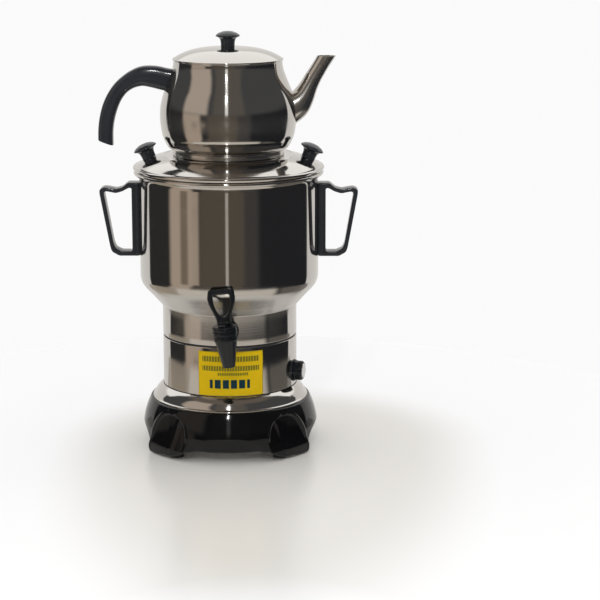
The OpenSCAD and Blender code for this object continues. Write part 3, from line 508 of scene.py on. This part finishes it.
# %% Teapot body, base disc and lid
POT_Z = 358.0
MOUTH_Z = 462.0
POT_SHEET = 1.2
pot_outside = ([Vector((0, POT_Z)), Vector((60, POT_Z))]
               + smooth([(66, 358.2), (69.6, 360), (72.4, 363), (74.5, 367), (76.2, 371), (77.6, 375.2),
                         (78.7, 380.6), (79.7, 388), (80.3, 397), (79.6, 408), (77.4, 418.5), (74.6, 427.4),
                         (71, 436), (67.9, 443.6), (65.5, 450.4), (64.2, 456.4), (63.8, 461)])
               + [Vector((63.6, MOUTH_Z))])
pot_inside = ([Vector((p.x - POT_SHEET, p.y)) for p in pot_outside[4:][::-1]]
              + [Vector((64, 359.3)), Vector((0, 359.3))])
piece("pot_bowl", lathe(pot_outside + pot_inside), "teapot", pot_steel, ["teapot_body"])
disc = rounded([(0, 351.6), (65.4, 351.6, 0.8), (66, 352.6, 0.8), (66, 356.8, 0.8), (65.2, 357.9),
                (0, 357.9)])
piece("pot_base_disc", lathe(disc, closed=False), "teapot", turned_steel,
      ["teapot_disc"])
DOME_R = 63.6
DOME_RISE = 12.9
DOME_STEPS = 20
dome = []
for i in range(1, DOME_STEPS + 1):
    outward = 1 - (i / DOME_STEPS) ** 1.5     # near 1 at the edge and 0 on the axis
    dome.append((DOME_R * outward, COVER_TOP - DOME_RISE * outward ** 3.2))
cover_outside = (rounded([(64.6, 462.35), (65, 463, 0.5), (64.7, 464.2, 0.6),
                          (DOME_R, COVER_TOP - DOME_RISE, 1), dome[0]], 3)
                 + [Vector(p) for p in dome[1:]])
piece("pot_cover_shell", lathe(sheet_outline(cover_outside, 0.9)), "pot_cover", pot_steel,
      ["teapot_lid"])


# %% [markdown]
# ## Bars and spouts along a curve
# A grip or a spout is one section carried along a curve. The section starts as a circle, and each step
# extrudes its edges and moves the new ring to the next point of the curve, where it takes that point's
# size.


# %% Carrying a section along a curve
def swept(path, sizes, square=1.0, around=32, cap=True):
    """A bmesh along points (x, z) in millimetres, with half sizes (in the plane, across) at each point."""
    mesh = bmesh.new()
    ring = bmesh.ops.create_circle(mesh, cap_ends=False, segments=around, radius=1.0)["verts"]
    shape = [[math.copysign(abs(c) ** square, c) for c in vert.co.xy] for vert in ring]
    first = ring
    for i, point in enumerate(path):
        if i:
            edges = [mesh.edges.get((a, b)) for a, b in zip(ring, ring[1:] + ring[:1])]
            new = set(verts_of(bmesh.ops.extrude_edge_only(mesh, edges=edges)["geom"]))
            ring = [next(e.other_vert(v) for e in v.link_edges if e.other_vert(v) in new) for v in ring]
        ahead = (path[min(i + 1, len(path) - 1)] - path[max(i - 1, 0)]).normalized()
        for vert, (u, v) in zip(ring, shape):
            flat = Vector((point.x, point.y)) + Vector((-ahead.y, ahead.x)) * u * sizes[i].x
            vert.co = mm(flat.x, v * sizes[i].y, flat.y)
    if cap:
        mesh.faces.new(first)
        mesh.faces.new(ring)
    return mesh


# %% [markdown]
# ## The teapot's grip and spout
# The grip leaves the neck nearly level, turns over and hangs down, and its end is cut at a slant and rounded
# off. Its section is a rounded oblong. The spout is a tube that is wide where it meets the belly and narrow
# at the tip, and its tip is cut level, which leaves a pointed lip in front.

# %% Grip
grip_path = smooth([(-60, 437.5), (-73.6, 439.7), (-85.4, 442.4), (-98.6, 443.5), (-108.6, 441),
                    (-117.4, 436.4), (-125.9, 429.4), (-133.3, 419.1), (-138.7, 407.2), (-142.3, 394.4),
                    (-144.2, 381.6), (-144.6, 368.8), (-144.4, 357)])
grip_sizes = smooth([(13.2, 9.4), (13.2, 9.4), (13, 9.5), (11.8, 9.8), (10.5, 10), (9.4, 10), (8.9, 10),
                     (8.9, 10), (9.1, 10), (9, 10), (8.9, 10), (8.9, 10), (8.9, 10)])
grip = swept(grip_path, grip_sizes, square=0.66)
GRIP_END = (-144.5, 0, 365)
END_FACES = Vector((-0.34, 0, -0.94))
for spot, normal in (((-64.8, 0, 0), (1, 0, 0)), (GRIP_END, END_FACES)):
    cut(grip, spot, normal)
    bmesh.ops.holes_fill(grip, edges=[e for e in grip.edges if e.is_boundary])
end = [e for e in grip.edges if all((v.co - Vector(mm(*GRIP_END))).dot(END_FACES) > -1e-6 for v in e.verts)]
bmesh.ops.bevel(grip, geom=end, offset=mm(0.7), segments=2, profile=0.5, affect="EDGES", material=-1)
piece("pot_grip", grip, "teapot", satin_black, ["teapot_handle"], sharp=50)

# %% Spout
spout_path = smooth([(62, 400.5), (72, 405), (81, 411), (88, 419.5), (94.3, 431.5), (99.8, 442),
                     (105.5, 451.5), (111, 460.8), (118, 472)])
spout_sizes = smooth([(20, 15.6), (18.6, 15), (16.8, 13.8), (13.6, 12.2), (10.9, 10.4), (9.9, 9.4),
                      (9.4, 8.8), (9.2, 8.4), (9.6, 8.6)])
SPOUT_TOP = 467.3
outer = swept(spout_path, spout_sizes, cap=False, around=40)
inner = swept(spout_path, [size - Vector((SHEET, SHEET)) for size in spout_sizes], cap=False, around=40)
for tube in (outer, inner):
    cut(tube, (0, 0, SPOUT_TOP), (0, 0, 1))
    cut(tube, (74, 0, 0), (-1, 0, 0))
add_mesh(outer, inner)
open_edges = [e for e in outer.edges if e.is_boundary]
tip = [e for e in open_edges if all(v.co.z > mm(SPOUT_TOP - 0.01) for v in e.verts)]
bmesh.ops.bridge_loops(outer, edges=tip)
bmesh.ops.bridge_loops(outer, edges=[e for e in outer.edges if e.is_boundary])
piece("pot_spout", outer, "teapot", spout_steel, ["teapot_spout"], sharp=35)


# %% [markdown]
# ## The side handles
# Each handle is a flat loop, moulded in one piece with the bar that the screws hold against the boiler. Two
# drawn loops, the outer and the inner edge, are bridged into a flat face, which is extruded to the handle's
# width and bevelled all round.


# %% Flat loops
def resample(loop, count):
    """Spreads count points evenly along a closed loop."""
    closed = loop + [loop[0]]
    lengths = [0.0]
    for a, b in zip(closed, closed[1:]):
        lengths.append(lengths[-1] + (b - a).length)
    out, k = [], 0
    for i in range(count):
        want = lengths[-1] * i / count
        while lengths[k + 1] < want:
            k += 1
        out.append(closed[k].lerp(closed[k + 1], (want - lengths[k]) / (lengths[k + 1] - lengths[k])))
    return out


def flat_loop(outer_loop, inner_loop, width, edge, count=96):
    """A bmesh of a flat ring in the XZ plane, extruded along Y and bevelled."""
    mesh = bmesh.new()
    rings = []
    for loop in (outer_loop, inner_loop):
        verts = [mesh.verts.new(mm(p.x, -width / 2, p.y)) for p in resample(loop, count)]
        rings += [mesh.edges.new(pair) for pair in zip(verts, verts[1:] + verts[:1])]
    faces = bmesh.ops.bridge_loops(mesh, edges=rings)["faces"]
    solid = bmesh.ops.extrude_face_region(mesh, geom=faces)["geom"]
    bmesh.ops.translate(mesh, vec=mm(0, width, 0), verts=verts_of(solid))
    bmesh.ops.recalc_face_normals(mesh, faces=mesh.faces)
    flat = [e for e in mesh.edges if abs(abs(e.verts[0].co.y) - abs(e.verts[1].co.y)) < 1e-7]
    rims = [e for e in flat if len(e.link_faces) == 2 and e.calc_face_angle(0) > math.radians(60)]
    bmesh.ops.bevel(mesh, geom=rims, offset=mm(edge), segments=4, profile=0.5, affect="EDGES", material=-1)
    return mesh


def loop_of(corners):
    """A closed loop with rounded corners, from corners (x, z, radius)."""
    return rounded([corners[-1]] + corners + [corners[0]], 5)[1:-1]


HANDLE_WIDTH = 20
handle_outer = [(105.4, 318.4, 0.5), (119.2, 318.4, 2.5), (126, 312.6, 6), (133.6, 310.6, 8), (141, 312.2, 6),
                (147.8, 313, 6), (153, 310, 3), (152.6, 304.6, 3), (141.4, 243, 5), (139.4, 235.6, 6),
                (130.6, 230.6, 5), (105.4, 230.6, 0.5)]
handle_inner = [(114.8, 312.2, 1), (118.4, 312, 2.5), (125.2, 308.2, 6), (133.2, 305.8, 8), (140.8, 307.4, 6),
                (145.8, 308.2, 2.4), (147.6, 306, 2), (137.2, 246, 5), (134.6, 239.6, 5), (127.6, 236.2, 4),
                (114.8, 236, 1.5)]
for side, name in ((-1, "left"), (1, "right")):
    loops = [loop_of([(side * x, z, r) for x, z, r in corners]) for corners in (handle_outer, handle_inner)]
    piece("handle_" + name, flat_loop(*loops, HANDLE_WIDTH, 1.5), "samovar", satin_black,
          ["side_handle_" + name])

# %% [markdown]
# ## The label
# A yellow film is stuck round the front of the housing. It is a flat grid that is bent to the housing's
# curve, and its print is drawn from its UV map: a thin border, rows of short bars, and a row of solid
# blocks. The print carries no words.

# %% Label
LABEL_W = 78.0
LABEL_H = 53.0
LABEL_TURN = math.radians(3.0)
LABEL_R = HOUSING_R + 0.4
LABEL_MIDDLE = HOUSING_Z + 1.5 + LABEL_H / 2


def label_finish():
    finish = Finish("printed_film", Coat_Weight=0.08, Coat_Roughness=0.08, Specular_IOR_Level=0.25)
    across, up, _ = finish.parts(UV)
    u, v = across * LABEL_W, up * LABEL_H

    def row(low, high, left, right, step, filled):
        """Bars between two heights, one to each step, from left to right, in millimetres."""
        bars = (u / step).math("FRACT").between(0.10, filled, 0.05)
        return v.between(low, high, 0.25) * u.between(left, right, 0.2) * bars

    small = row(41, 47.5, 5, 73, 3.3, 0.86).math("MAXIMUM", row(30, 36, 5, 73, 3.1, 0.86))
    small = small.math("MAXIMUM", row(24.6, 28, 23, 60, 2.6, 0.8))
    big = row(9, 19.5, 14, 61.5, 9.5, 0.86)
    border = 1 - u.between(0.7, LABEL_W - 0.7, 0.15) * v.between(0.7, LABEL_H - 0.7, 0.15)
    speck = finish.noise(120, detail=4)
    yellow = finish.blend(speck, (0.88, 0.645, 0.001), (0.95, 0.70, 0.003))
    ink = finish.blend(big, (0.10, 0.12, 0.02), (0.006, 0.05, 0.075))
    printed = (small * 0.8).math("MAXIMUM", big).math("MAXIMUM", border * 0.35)
    finish.set("Base Color", finish.blend(printed, yellow, ink))
    finish.set("Roughness", 0.3 + speck * 0.1)
    finish.bump(finish.noise(90, detail=2), 0.00006, 0.5)
    return finish.material


label = bmesh.new()
bmesh.ops.create_grid(label, x_segments=48, y_segments=8, size=0.5, calc_uvs=True)
uv = label.loops.layers.uv.verify()
for face in label.faces:
    for corner in face.loops:
        corner[uv].uv = (corner.vert.co.x + 0.5, corner.vert.co.y + 0.5)
for vert in label.verts:
    across, up = vert.co.x * LABEL_W, vert.co.y * LABEL_H
    turn = across / HOUSING_R + LABEL_TURN
    vert.co = mm(LABEL_R * math.sin(turn), -LABEL_R * math.cos(turn), LABEL_MIDDLE + up)
bmesh.ops.solidify(label, geom=label.faces[:], thickness=mm(0.3))
piece("label_film", label, "samovar", label_finish(), ["label_plate"], sharp=60)

# %% [markdown]
# ## The base
# The base is a moulded bell. Its side swells to a crease and turns under below it, and four feet are
# pressed out of it. It is easiest to turn a plain bell first and then to move its points, as a modeller
# pushes clay: the crease and the lower edge sink towards each foot, and a panel with an arched top steps
# out there, with an upright ridge like the prow of a boat.

# %% Shape of the base
BASE_R = 104.8
LIP_R = 93.7
FOOT_TURN = 45
FOOT_R = 105          # radius at which a foot's outline is drawn, as if unrolled
FOOT_WITHIN = 24      # degrees from the middle of a foot past which its outline can't reach
CREASE_Z = 29         # height of the crease between two feet
RIM_UP = 60           # height of the bell's lip
BASE_WALL = 3.0
foot_outline = smooth([(-33.5, -6), (-33, 3), (-31, 14), (-28, 24), (-23.5, 35), (-17, 45), (-9, 52), (2, 55),
                       (13, 54.5), (22.5, 50), (29, 42), (32, 30), (32, 19), (28, 8), (22, -6)])


def ease(a, b, x):
    """0 up to a, 1 from b on, and a smooth change between them."""
    t = min(1.0, max(0.0, (x - a) / (b - a)))
    return t * t * (3 - 2 * t)


def inside_by(point, outline):
    """How far a point lies inside an outline, in millimetres. It is negative outside."""
    near, odd = 1e9, False
    for a, b in zip(outline, outline[1:] + outline[:1]):
        side = b - a
        t = min(1.0, max(0.0, (point - a).dot(side) / side.length_squared))
        near = min(near, (point - a - side * t).length)
        if (a.y > point.y) != (b.y > point.y) and point.x < a.x + (point.y - a.y) / (b.y - a.y) * side.x:
            odd = not odd
    return near if odd else -near


def bell(z):
    """Radius of the plain bell at a height."""
    up = max(0.0, (z - CREASE_Z) / (RIM_UP - CREASE_Z))
    return BASE_R - 4.6 * up - 5 * up ** 2.4


def claw(off, z, inside):
    """Radius of a foot, off degrees from its middle: a proud lip round two faces that meet in a ridge."""
    ridge = -4.5 - 0.15 * max(0.0, z - 10)
    rise = max(0.0, z - 12)
    plane = 105.6 - 0.27 * rise + 0.0022 * rise ** 2 - 0.02 * max(0.0, 12 - z)
    flat = min(1 / math.cos(math.radians(off - 5)), 1.006 / math.cos(math.radians(off + 3)))
    face = plane * (1 + 0.6 * (flat - 1))
    bead = 1.0 * math.exp(-((off - ridge) / 1.6) ** 2) * ease(54, 44, z) * ease(4, 14, z)
    lip = max(bell(z), face) + 1.0
    return lip + (face + bead - lip) * ease(0.4, 2.6, inside)


def lower_edge(off):
    """Height of the base's lower edge, off degrees from the middle of a foot."""
    side = abs(off)
    if off < 0:
        return min(12.5, 2.8 + 0.033 * side ** 2)
    return 2.8 - 2 * ease(0, 10, side) + 11.7 * ease(16.5, 21, side)


def base_point(angle, share):
    """Radius and height in one quarter. share is 0 at the lip, 1 at the crease and 2 at the lower edge."""
    off = FOOT_TURN - angle
    side = abs(off)
    arch = 31 * math.sqrt(max(0.0, 1 - ((FOOT_TURN - side) / 28) ** 3))
    lower = lower_edge(off)
    crease = max(lower + 1.6, arch)
    under = 1.0 + 7.5 * ease(17.5, 24, side)
    down = max(0.0, share - 1)
    z = RIM_UP - (RIM_UP - crease) * min(1, share)
    r = bell(z)
    inside = -9
    if side < FOOT_WITHIN:
        flat = Vector((-math.radians(off) * FOOT_R, z - (crease - lower) * down))
        inside = inside_by(flat, foot_outline)
    r += (claw(off, z, inside) - r) * ease(-3.2 if off > 0 else -1.6, 0, inside)
    return (r - under * down ** 1.25, z - (crease - lower) * down)


# %% [markdown]
# The rows of the bell are closer together near the crease, where the light turns. The inner wall follows
# the outer one three millimetres in, so the whole base is one closed skin.

# %% Base
shares = ([0, 0.03] + [0.03 + 0.93 * k / 26 for k in range(1, 27)] + [0.985, 1.0, 1.02]
          + [1.02 + 0.98 * k / 9 for k in range(1, 10)])
ROWS = 2 * len(shares)     # the outer wall's rows, then the inner wall's
STEPS = 720
base = lathe([(100 + i * 0.1, i) for i in range(ROWS)], around=STEPS)     # a point's height tells its row
columns = {}
for vert in base.verts:
    angle = round((math.degrees(math.atan2(vert.co.y, vert.co.x)) % 360) * STEPS / 360) % STEPS
    row = round(vert.co.z * 1000)
    columns[(angle, row)] = vert
quarter = {}     # the four quarters are mirror images, so one is worked out
for (angle, row), vert in columns.items():
    outside = row < len(shares)
    share = shares[row] if outside else shares[ROWS - 1 - row]
    turn = angle * 360 / STEPS
    folded = min(angle % (STEPS // 2), STEPS // 2 - angle % (STEPS // 2))
    if (folded, share) not in quarter:
        quarter[folded, share] = base_point(folded * 360 / STEPS, share)
    r, z = quarter[folded, share]
    r -= 0 if outside else BASE_WALL
    if row in (0, ROWS - 1):
        z = RIM_UP
        r = LIP_R + (1.2 if row == 0 else 0)
    vert.co = mm(r * math.cos(math.radians(turn)), r * math.sin(math.radians(turn)), z)
piece("base_bell", base, "samovar", gloss_black, ["base_shell"], sharp=70)
print("base points:", len(columns))

# %% [markdown]
# ## The tap
# The tap is black phenolic too. A round flange lies against the neck, a short barrel carries the water into
# an upright chamber with a collar, and below the collar the spout tapers to its mouth. The whole tap leans
# six degrees to one side, because its nut was tightened that way.

# %% Tap body and collar
TAP_REACH = 112.5
TAP_LEAN = math.radians(-6)
tap_place = Matrix.Translation(mm(0, 0, 155.6)) @ Matrix.Rotation(TAP_LEAN, 4, "Y")
reach = Matrix.Translation(mm(0, -TAP_REACH, 0))
forward = Matrix.Rotation(math.radians(90), 4, "X")
spout_mouth = rounded([(4.5, -9), (4.5, -34.6, 0.4), (7.15, -35, 0.6), (12.7, -4.6, 0.6), (12.9, -3.4, 0.4),
                       (14.5, -2.6, 0.9), (14.5, 1.6, 0.9), (13.5, 2.4, 0.4), (13.5, 3.4, 0.4),
                       (14.5, 4.2, 0.8), (14.5, 8.4, 0.5), (11, 8.5), (11, 12), (8.5, 12), (8.5, -9),
                       (4.5, -9)])
chamber = lathe(spout_mouth, around=72)
bmesh.ops.transform(chamber, matrix=reach, verts=chamber.verts)
flange = rounded([(0, 79), (14, 79, 0.3), (14, 84.2, 1.2), (9.4, 85.4, 2), (7.5, 89, 3), (7.5, 101),
                  (0, 101)], 5)
barrel = lathe(flange, closed=False, around=64)
bmesh.ops.transform(barrel, matrix=forward, verts=barrel.verts)
add_mesh(chamber, barrel)
piece("tap_chamber", chamber, "samovar", tap_black, ["tap_body"], place=tap_place)
collar = (rounded([(11, 8.6), (14.5, 8.7, 0.5), (14.5, 12.6, 1.2), (12.6, 14, 1.2), (2.6, 14)], 5)
          + [Vector((2.6, 12)), Vector((11, 12))])
piece("tap_collar", lathe(collar, around=72), "samovar", tap_black, ["tap_bonnet"],
      place=tap_place @ reach)

# %% [markdown]
# ## The tap's lever
# The lever is a loop for one finger, made like the side handles from two drawn edges.

# %% Lever
LEVER_UP = 17.4     # height of its pin above the tap's axis
right_outer = [(14.2, 39.4, 3.2), (16.1, 29.4, 6), (14.8, 22.4, 8), (12, 15, 8), (8.6, 6.4, 5), (8, 3, 3),
               (8, -2.6, 1.2)]
right_inner = [(9.6, 33.2, 2.6), (9.8, 24, 5), (8.2, 17, 6), (5, 10, 4)]


def mirrored(corners):
    """The same corners on the other side, in the other order."""
    return [(-x, z, r) for x, z, r in reversed(corners)]


def starting_below(loop):
    """Turns a loop so that it starts at its lowest point in the middle."""
    first = min(range(len(loop)), key=lambda i: loop[i].y * 0.1 + abs(loop[i].x))
    return loop[first:] + loop[:first]


outer_loop = loop_of(mirrored(right_outer) + right_outer)
inner_loop = loop_of([(0, 6, 1.2)] + mirrored(right_inner) + right_inner)
bottom = [Vector((0, -2.6))] + outer_loop[::-1]
lever = flat_loop(bottom, starting_below(inner_loop)[::-1], 8, 2.1, count=120)
piece("tap_loop", lever, "tap_handle", tap_black, ["tap_lever"],
      place=tap_place @ reach @ Matrix.Translation(mm(0, 0, LEVER_UP)))

# %% [markdown]
# ## The heat knob
# The knob has twenty flutes for grip, a chamfer, and a bright cap let into its face. It turns against a
# round dark plate on the housing.

# %% Heat knob
HEAT_Z = 94
HEAT_TURN = math.radians(-15)
FLUTES = 20
heat_place = (Matrix.Translation(mm(0, 0, HEAT_Z)) @ Matrix.Rotation(HEAT_TURN, 4, "Z")
              @ Matrix.Rotation(math.radians(90), 4, "Y"))
knob = lathe(rounded([(3, 81.4), (12.2, 81.4, 0.4), (12.2, 83.2, 0.5), (11.6, 83.5, 0.2), (11.6, 89.8, 0.5),
                      (9.7, 91.8, 0.5), (8.7, 91.8, 0.2), (8.7, 90.8), (3, 90.8)]), around=12 * FLUTES)
for vert in knob.verts:
    r, z = math.hypot(vert.co.x, vert.co.y) * 1000, vert.co.z * 1000
    if r > 9.2 and z > 83.5:
        flute = max(0.0, math.cos(math.atan2(vert.co.y, vert.co.x) * FLUTES)) ** 2
        shrink = 1 - 0.75 * flute * ease(83.5, 84.1, z) / r
        vert.co.x, vert.co.y = vert.co.x * shrink, vert.co.y * shrink
piece("heat_knob_fluted", knob, "heat_control", tap_black, ["heat_knob"], place=heat_place)
cap_outline = rounded([(0, 90.9), (8.7, 90.9, 0.2), (8.7, 92, 0.4), (7.9, 92.3, 0.5), (0, 92.1)])
piece("heat_knob_cap", lathe(cap_outline, closed=False, around=64), "heat_control",
      slot_finish["silver_cap"], ["knob_insert"], place=heat_place)

# %% [markdown]
# ## Finishes on what the frame already shows
# Screws, nuts, the heater and the wiring keep their measured shape. Each takes the finish of its material
# slot in the record.

# %% Carried pieces
slots = {entry["node"]: entry["material_slot"] for entry in frame["record"]["subparts"]}
for name, node in frame["nodes"].items():
    node.data.materials.clear()
    node.data.materials.append(slot_finish[slots[name]])
print("finished pieces:", len(pieces), "carried pieces:", len(frame["nodes"]))


# %% [markdown]
# ## Table, room and lamp
# Polished steel shows the room more than itself, so the room is furnished with a few plain things: a pale
# wall behind the samovar, a brown cupboard to the left, a dim wall in front with a slit of daylight, and a
# dark right side. Each is only a span of angles round the upright axis and a tone. The camera sees none of
# them: to it the wall is a plain pale one, because the world asks which kind of ray is looking.

# %% Tones of the room
PALE = (0.80, 0.78, 0.755)
BROWN = (0.50, 0.41, 0.33)
SHADED_BROWN = (0.20, 0.16, 0.12)
DIM = (0.11, 0.092, 0.072)
DIMMER = (0.06, 0.056, 0.055)
DARK = (0.03, 0.03, 0.03)
BLACK = (0.018, 0.019, 0.022)
GREY = (0.075, 0.076, 0.078)
BEHIND_FROM = 122     # degrees from the front at which the pale wall starts, on both sides

# Each thing has its left and right edge and their blur in degrees, a tone, and perhaps a band of heights: the
# lowest and the highest z of a direction, and the blur of both.
MIRRORED_BY_WALLS = (-0.235, -0.145, 0.025)
ABOVE_LEVEL = (0.10, 3, 0.08)
LOW_THINGS = [(-33, 22, 5, DIM), (18, 41, 5, DIMMER), (42, 120, 5, BLACK), (-79, -46, 4, BROWN)]
THINGS = LOW_THINGS + [
    (-50, -35.5, 2, BROWN, MIRRORED_BY_WALLS),
    (-62.5, -52, 3, SHADED_BROWN, MIRRORED_BY_WALLS),
    (-37, 22, 3, DIM, MIRRORED_BY_WALLS),
    (-2.2, 1.4, 0.6, (0.56, 0.53, 0.49), MIRRORED_BY_WALLS),
    (-125, 125, 2, GREY, ABOVE_LEVEL),
    (-24, 30, 6, (0.13, 0.115, 0.10), ABOVE_LEVEL),
    (-80, -34, 5, (0.54, 0.46, 0.39), ABOVE_LEVEL),
    (-3, 2, 1.5, (1.0, 0.99, 0.97), ABOVE_LEVEL),
]
# Painted light and shade on the table near the samovar, by direction, seen only in reflections.
PAINTED_TABLE_SHADING = [(-121, -68, 5, (0.46, 0.40, 0.32)), (-68, 62, 6, (0.74, 0.685, 0.615)),
            (68, 122, 5, (0.17, 0.155, 0.135))]


def furnish(finish, x, y, things, height=None):
    """Paints things over each other round the upright axis, from angle 0 at the front to the right."""
    angle = x.math("ARCTAN2", 0 - y) * math.degrees(1)
    colour = DARK
    for left, right, blur, tone, *band in things:
        here = angle.between(left, right, blur)
        for low, high, soft in band:
            here = here * height.between(low, high, soft)
        colour = finish.blend(here, colour, tone)
    return finish.blend(angle.math("ABSOLUTE").step(BEHIND_FROM, 1.5), colour, PALE)


# %% [markdown]
# The table is a pale disc with a soft shine. What a reflection sees of it is painted light and shade, by
# direction and distance: browner to the left, pale in front and dark to the right near the samovar, and
# farther out the room's low things, painted on as a reflection. Far from the samovar it also glows faintly
# for the camera, which lets its far edge fade into the wall.


# %% Table
def table_finish():
    finish = Finish("pale_table", Specular_IOR_Level=0.4, Emission_Strength=1.0)
    cloud = finish.noise(1.5, detail=2)
    x, y, _ = finish.parts(OBJECT)
    away = (x * x + y * y).math("SQRT")
    pale = finish.blend(cloud, (0.82, 0.795, 0.75), (0.85, 0.83, 0.79))
    in_gloss = finish.node("ShaderNodeLightPath", out=TO_GLOSS)
    # Painted shade and painted reflection: in reflections the table takes these tones, and farther out the
    # room's low things.
    painted_shading = finish.blend(away.step(0.24, 0.06), (0.80, 0.78, 0.74), furnish(finish, x, y, PAINTED_TABLE_SHADING))
    painted_shading = finish.blend(away.step(0.62, 0.05), painted_shading, furnish(finish, x, y, LOW_THINGS))
    finish.set("Base Color", finish.blend(in_gloss, pale, painted_shading))
    finish.set("Roughness", 0.2 + 0.04 * cloud)
    by_camera = finish.node("ShaderNodeLightPath", out=TO_CAMERA)
    across, along = x - 0.05, y.math("MAXIMUM", y * -0.4)
    far = (across * across + along * along).math("SQRT").step(0.22, 0.06)
    far = far.math("MAXIMUM", (0 - y).step(0.5, 0.06))
    finish.set("Emission Color", finish.blend(by_camera * far, (0, 0, 0), (0.16, 0.18, 0.22)))
    return finish.material


table_mesh = bmesh.new()
bmesh.ops.create_circle(table_mesh, cap_ends=True, segments=256, radius=1.0)
bmesh.ops.scale(table_mesh, vec=(0.672, 0.728, 1), verts=table_mesh.verts)
bmesh.ops.translate(table_mesh, vec=(0.0, -0.171, 0), verts=table_mesh.verts)
solid = bmesh.ops.extrude_face_region(table_mesh, geom=table_mesh.faces[:])["geom"]
bmesh.ops.translate(table_mesh, vec=(0, 0, -0.02), verts=verts_of(solid))
bmesh.ops.recalc_face_normals(table_mesh, faces=table_mesh.faces)
table_data = bpy.data.meshes.new("table")
table_mesh.to_mesh(table_data)
table_mesh.free()
table_data.materials.append(table_finish())
table = bpy.data.objects.new("table", table_data)
bpy.context.collection.objects.link(table)


# %% [markdown]
# The room is a world. Its walls carry the things, its ceiling is brown in front and brightly lit behind, and
# for every ray but a reflection it gives plain soft light. The one lamp is tall and narrow and stands in
# front: it adds the bright line down each round piece.


# %% Room
def room():
    world = bpy.data.worlds.new("room")
    bpy.context.scene.world = world
    world.use_nodes = True
    tree = world.node_tree
    tree.nodes.clear()
    sky = Finish("room", tree)
    x, y, z = sky.parts(GENERATED)
    around = furnish(sky, x, y, THINGS, z)
    behind = (y - x.math("ABSOLUTE") * 0.45).step(0.03, 0.02)
    around = sky.blend(z.step(0.80, 0.06), around, (0.16, 0.135, 0.11))
    around = sky.blend(behind * z.step(0.42, 0.06), around, (1.22, 1.21, 1.19))
    seen_by_camera = sky.node("ShaderNodeLightPath", out=TO_CAMERA)
    seen_in_gloss = sky.node("ShaderNodeLightPath", out=TO_GLOSS)
    soft = sky.blend(z.step(0.25, 0.2), (1.5, 1.48, 1.45), (0.88, 0.88, 0.88))
    colour = sky.blend(seen_in_gloss, soft, around)
    colour = sky.blend(seen_by_camera, colour, (0.96, 0.96, 0.96))
    background = sky.node("ShaderNodeBackground", {}, {"Color": colour, "Strength": 1.0})
    output = sky.tree.nodes.new("ShaderNodeOutputWorld")
    tree.links.new(background.socket, output.inputs["Surface"])


room()


# %% Lamp
def lamp(name, place, aim, size, power):
    data = bpy.data.lights.new(name, "AREA")
    data.shape = "RECTANGLE"
    data.size, data.size_y = size
    data.energy = power
    made = bpy.data.objects.new(name, data)
    turn = (Vector(aim) - Vector(place)).to_track_quat("-Z", "Y")
    made.matrix_world = Matrix.Translation(place) @ turn.to_matrix().to_4x4()
    bpy.context.collection.objects.link(made)


lamp("front lamp", (-0.05, -2.6, 1.9), (0, 0, 0.25), (0.06, 0.5), 14)
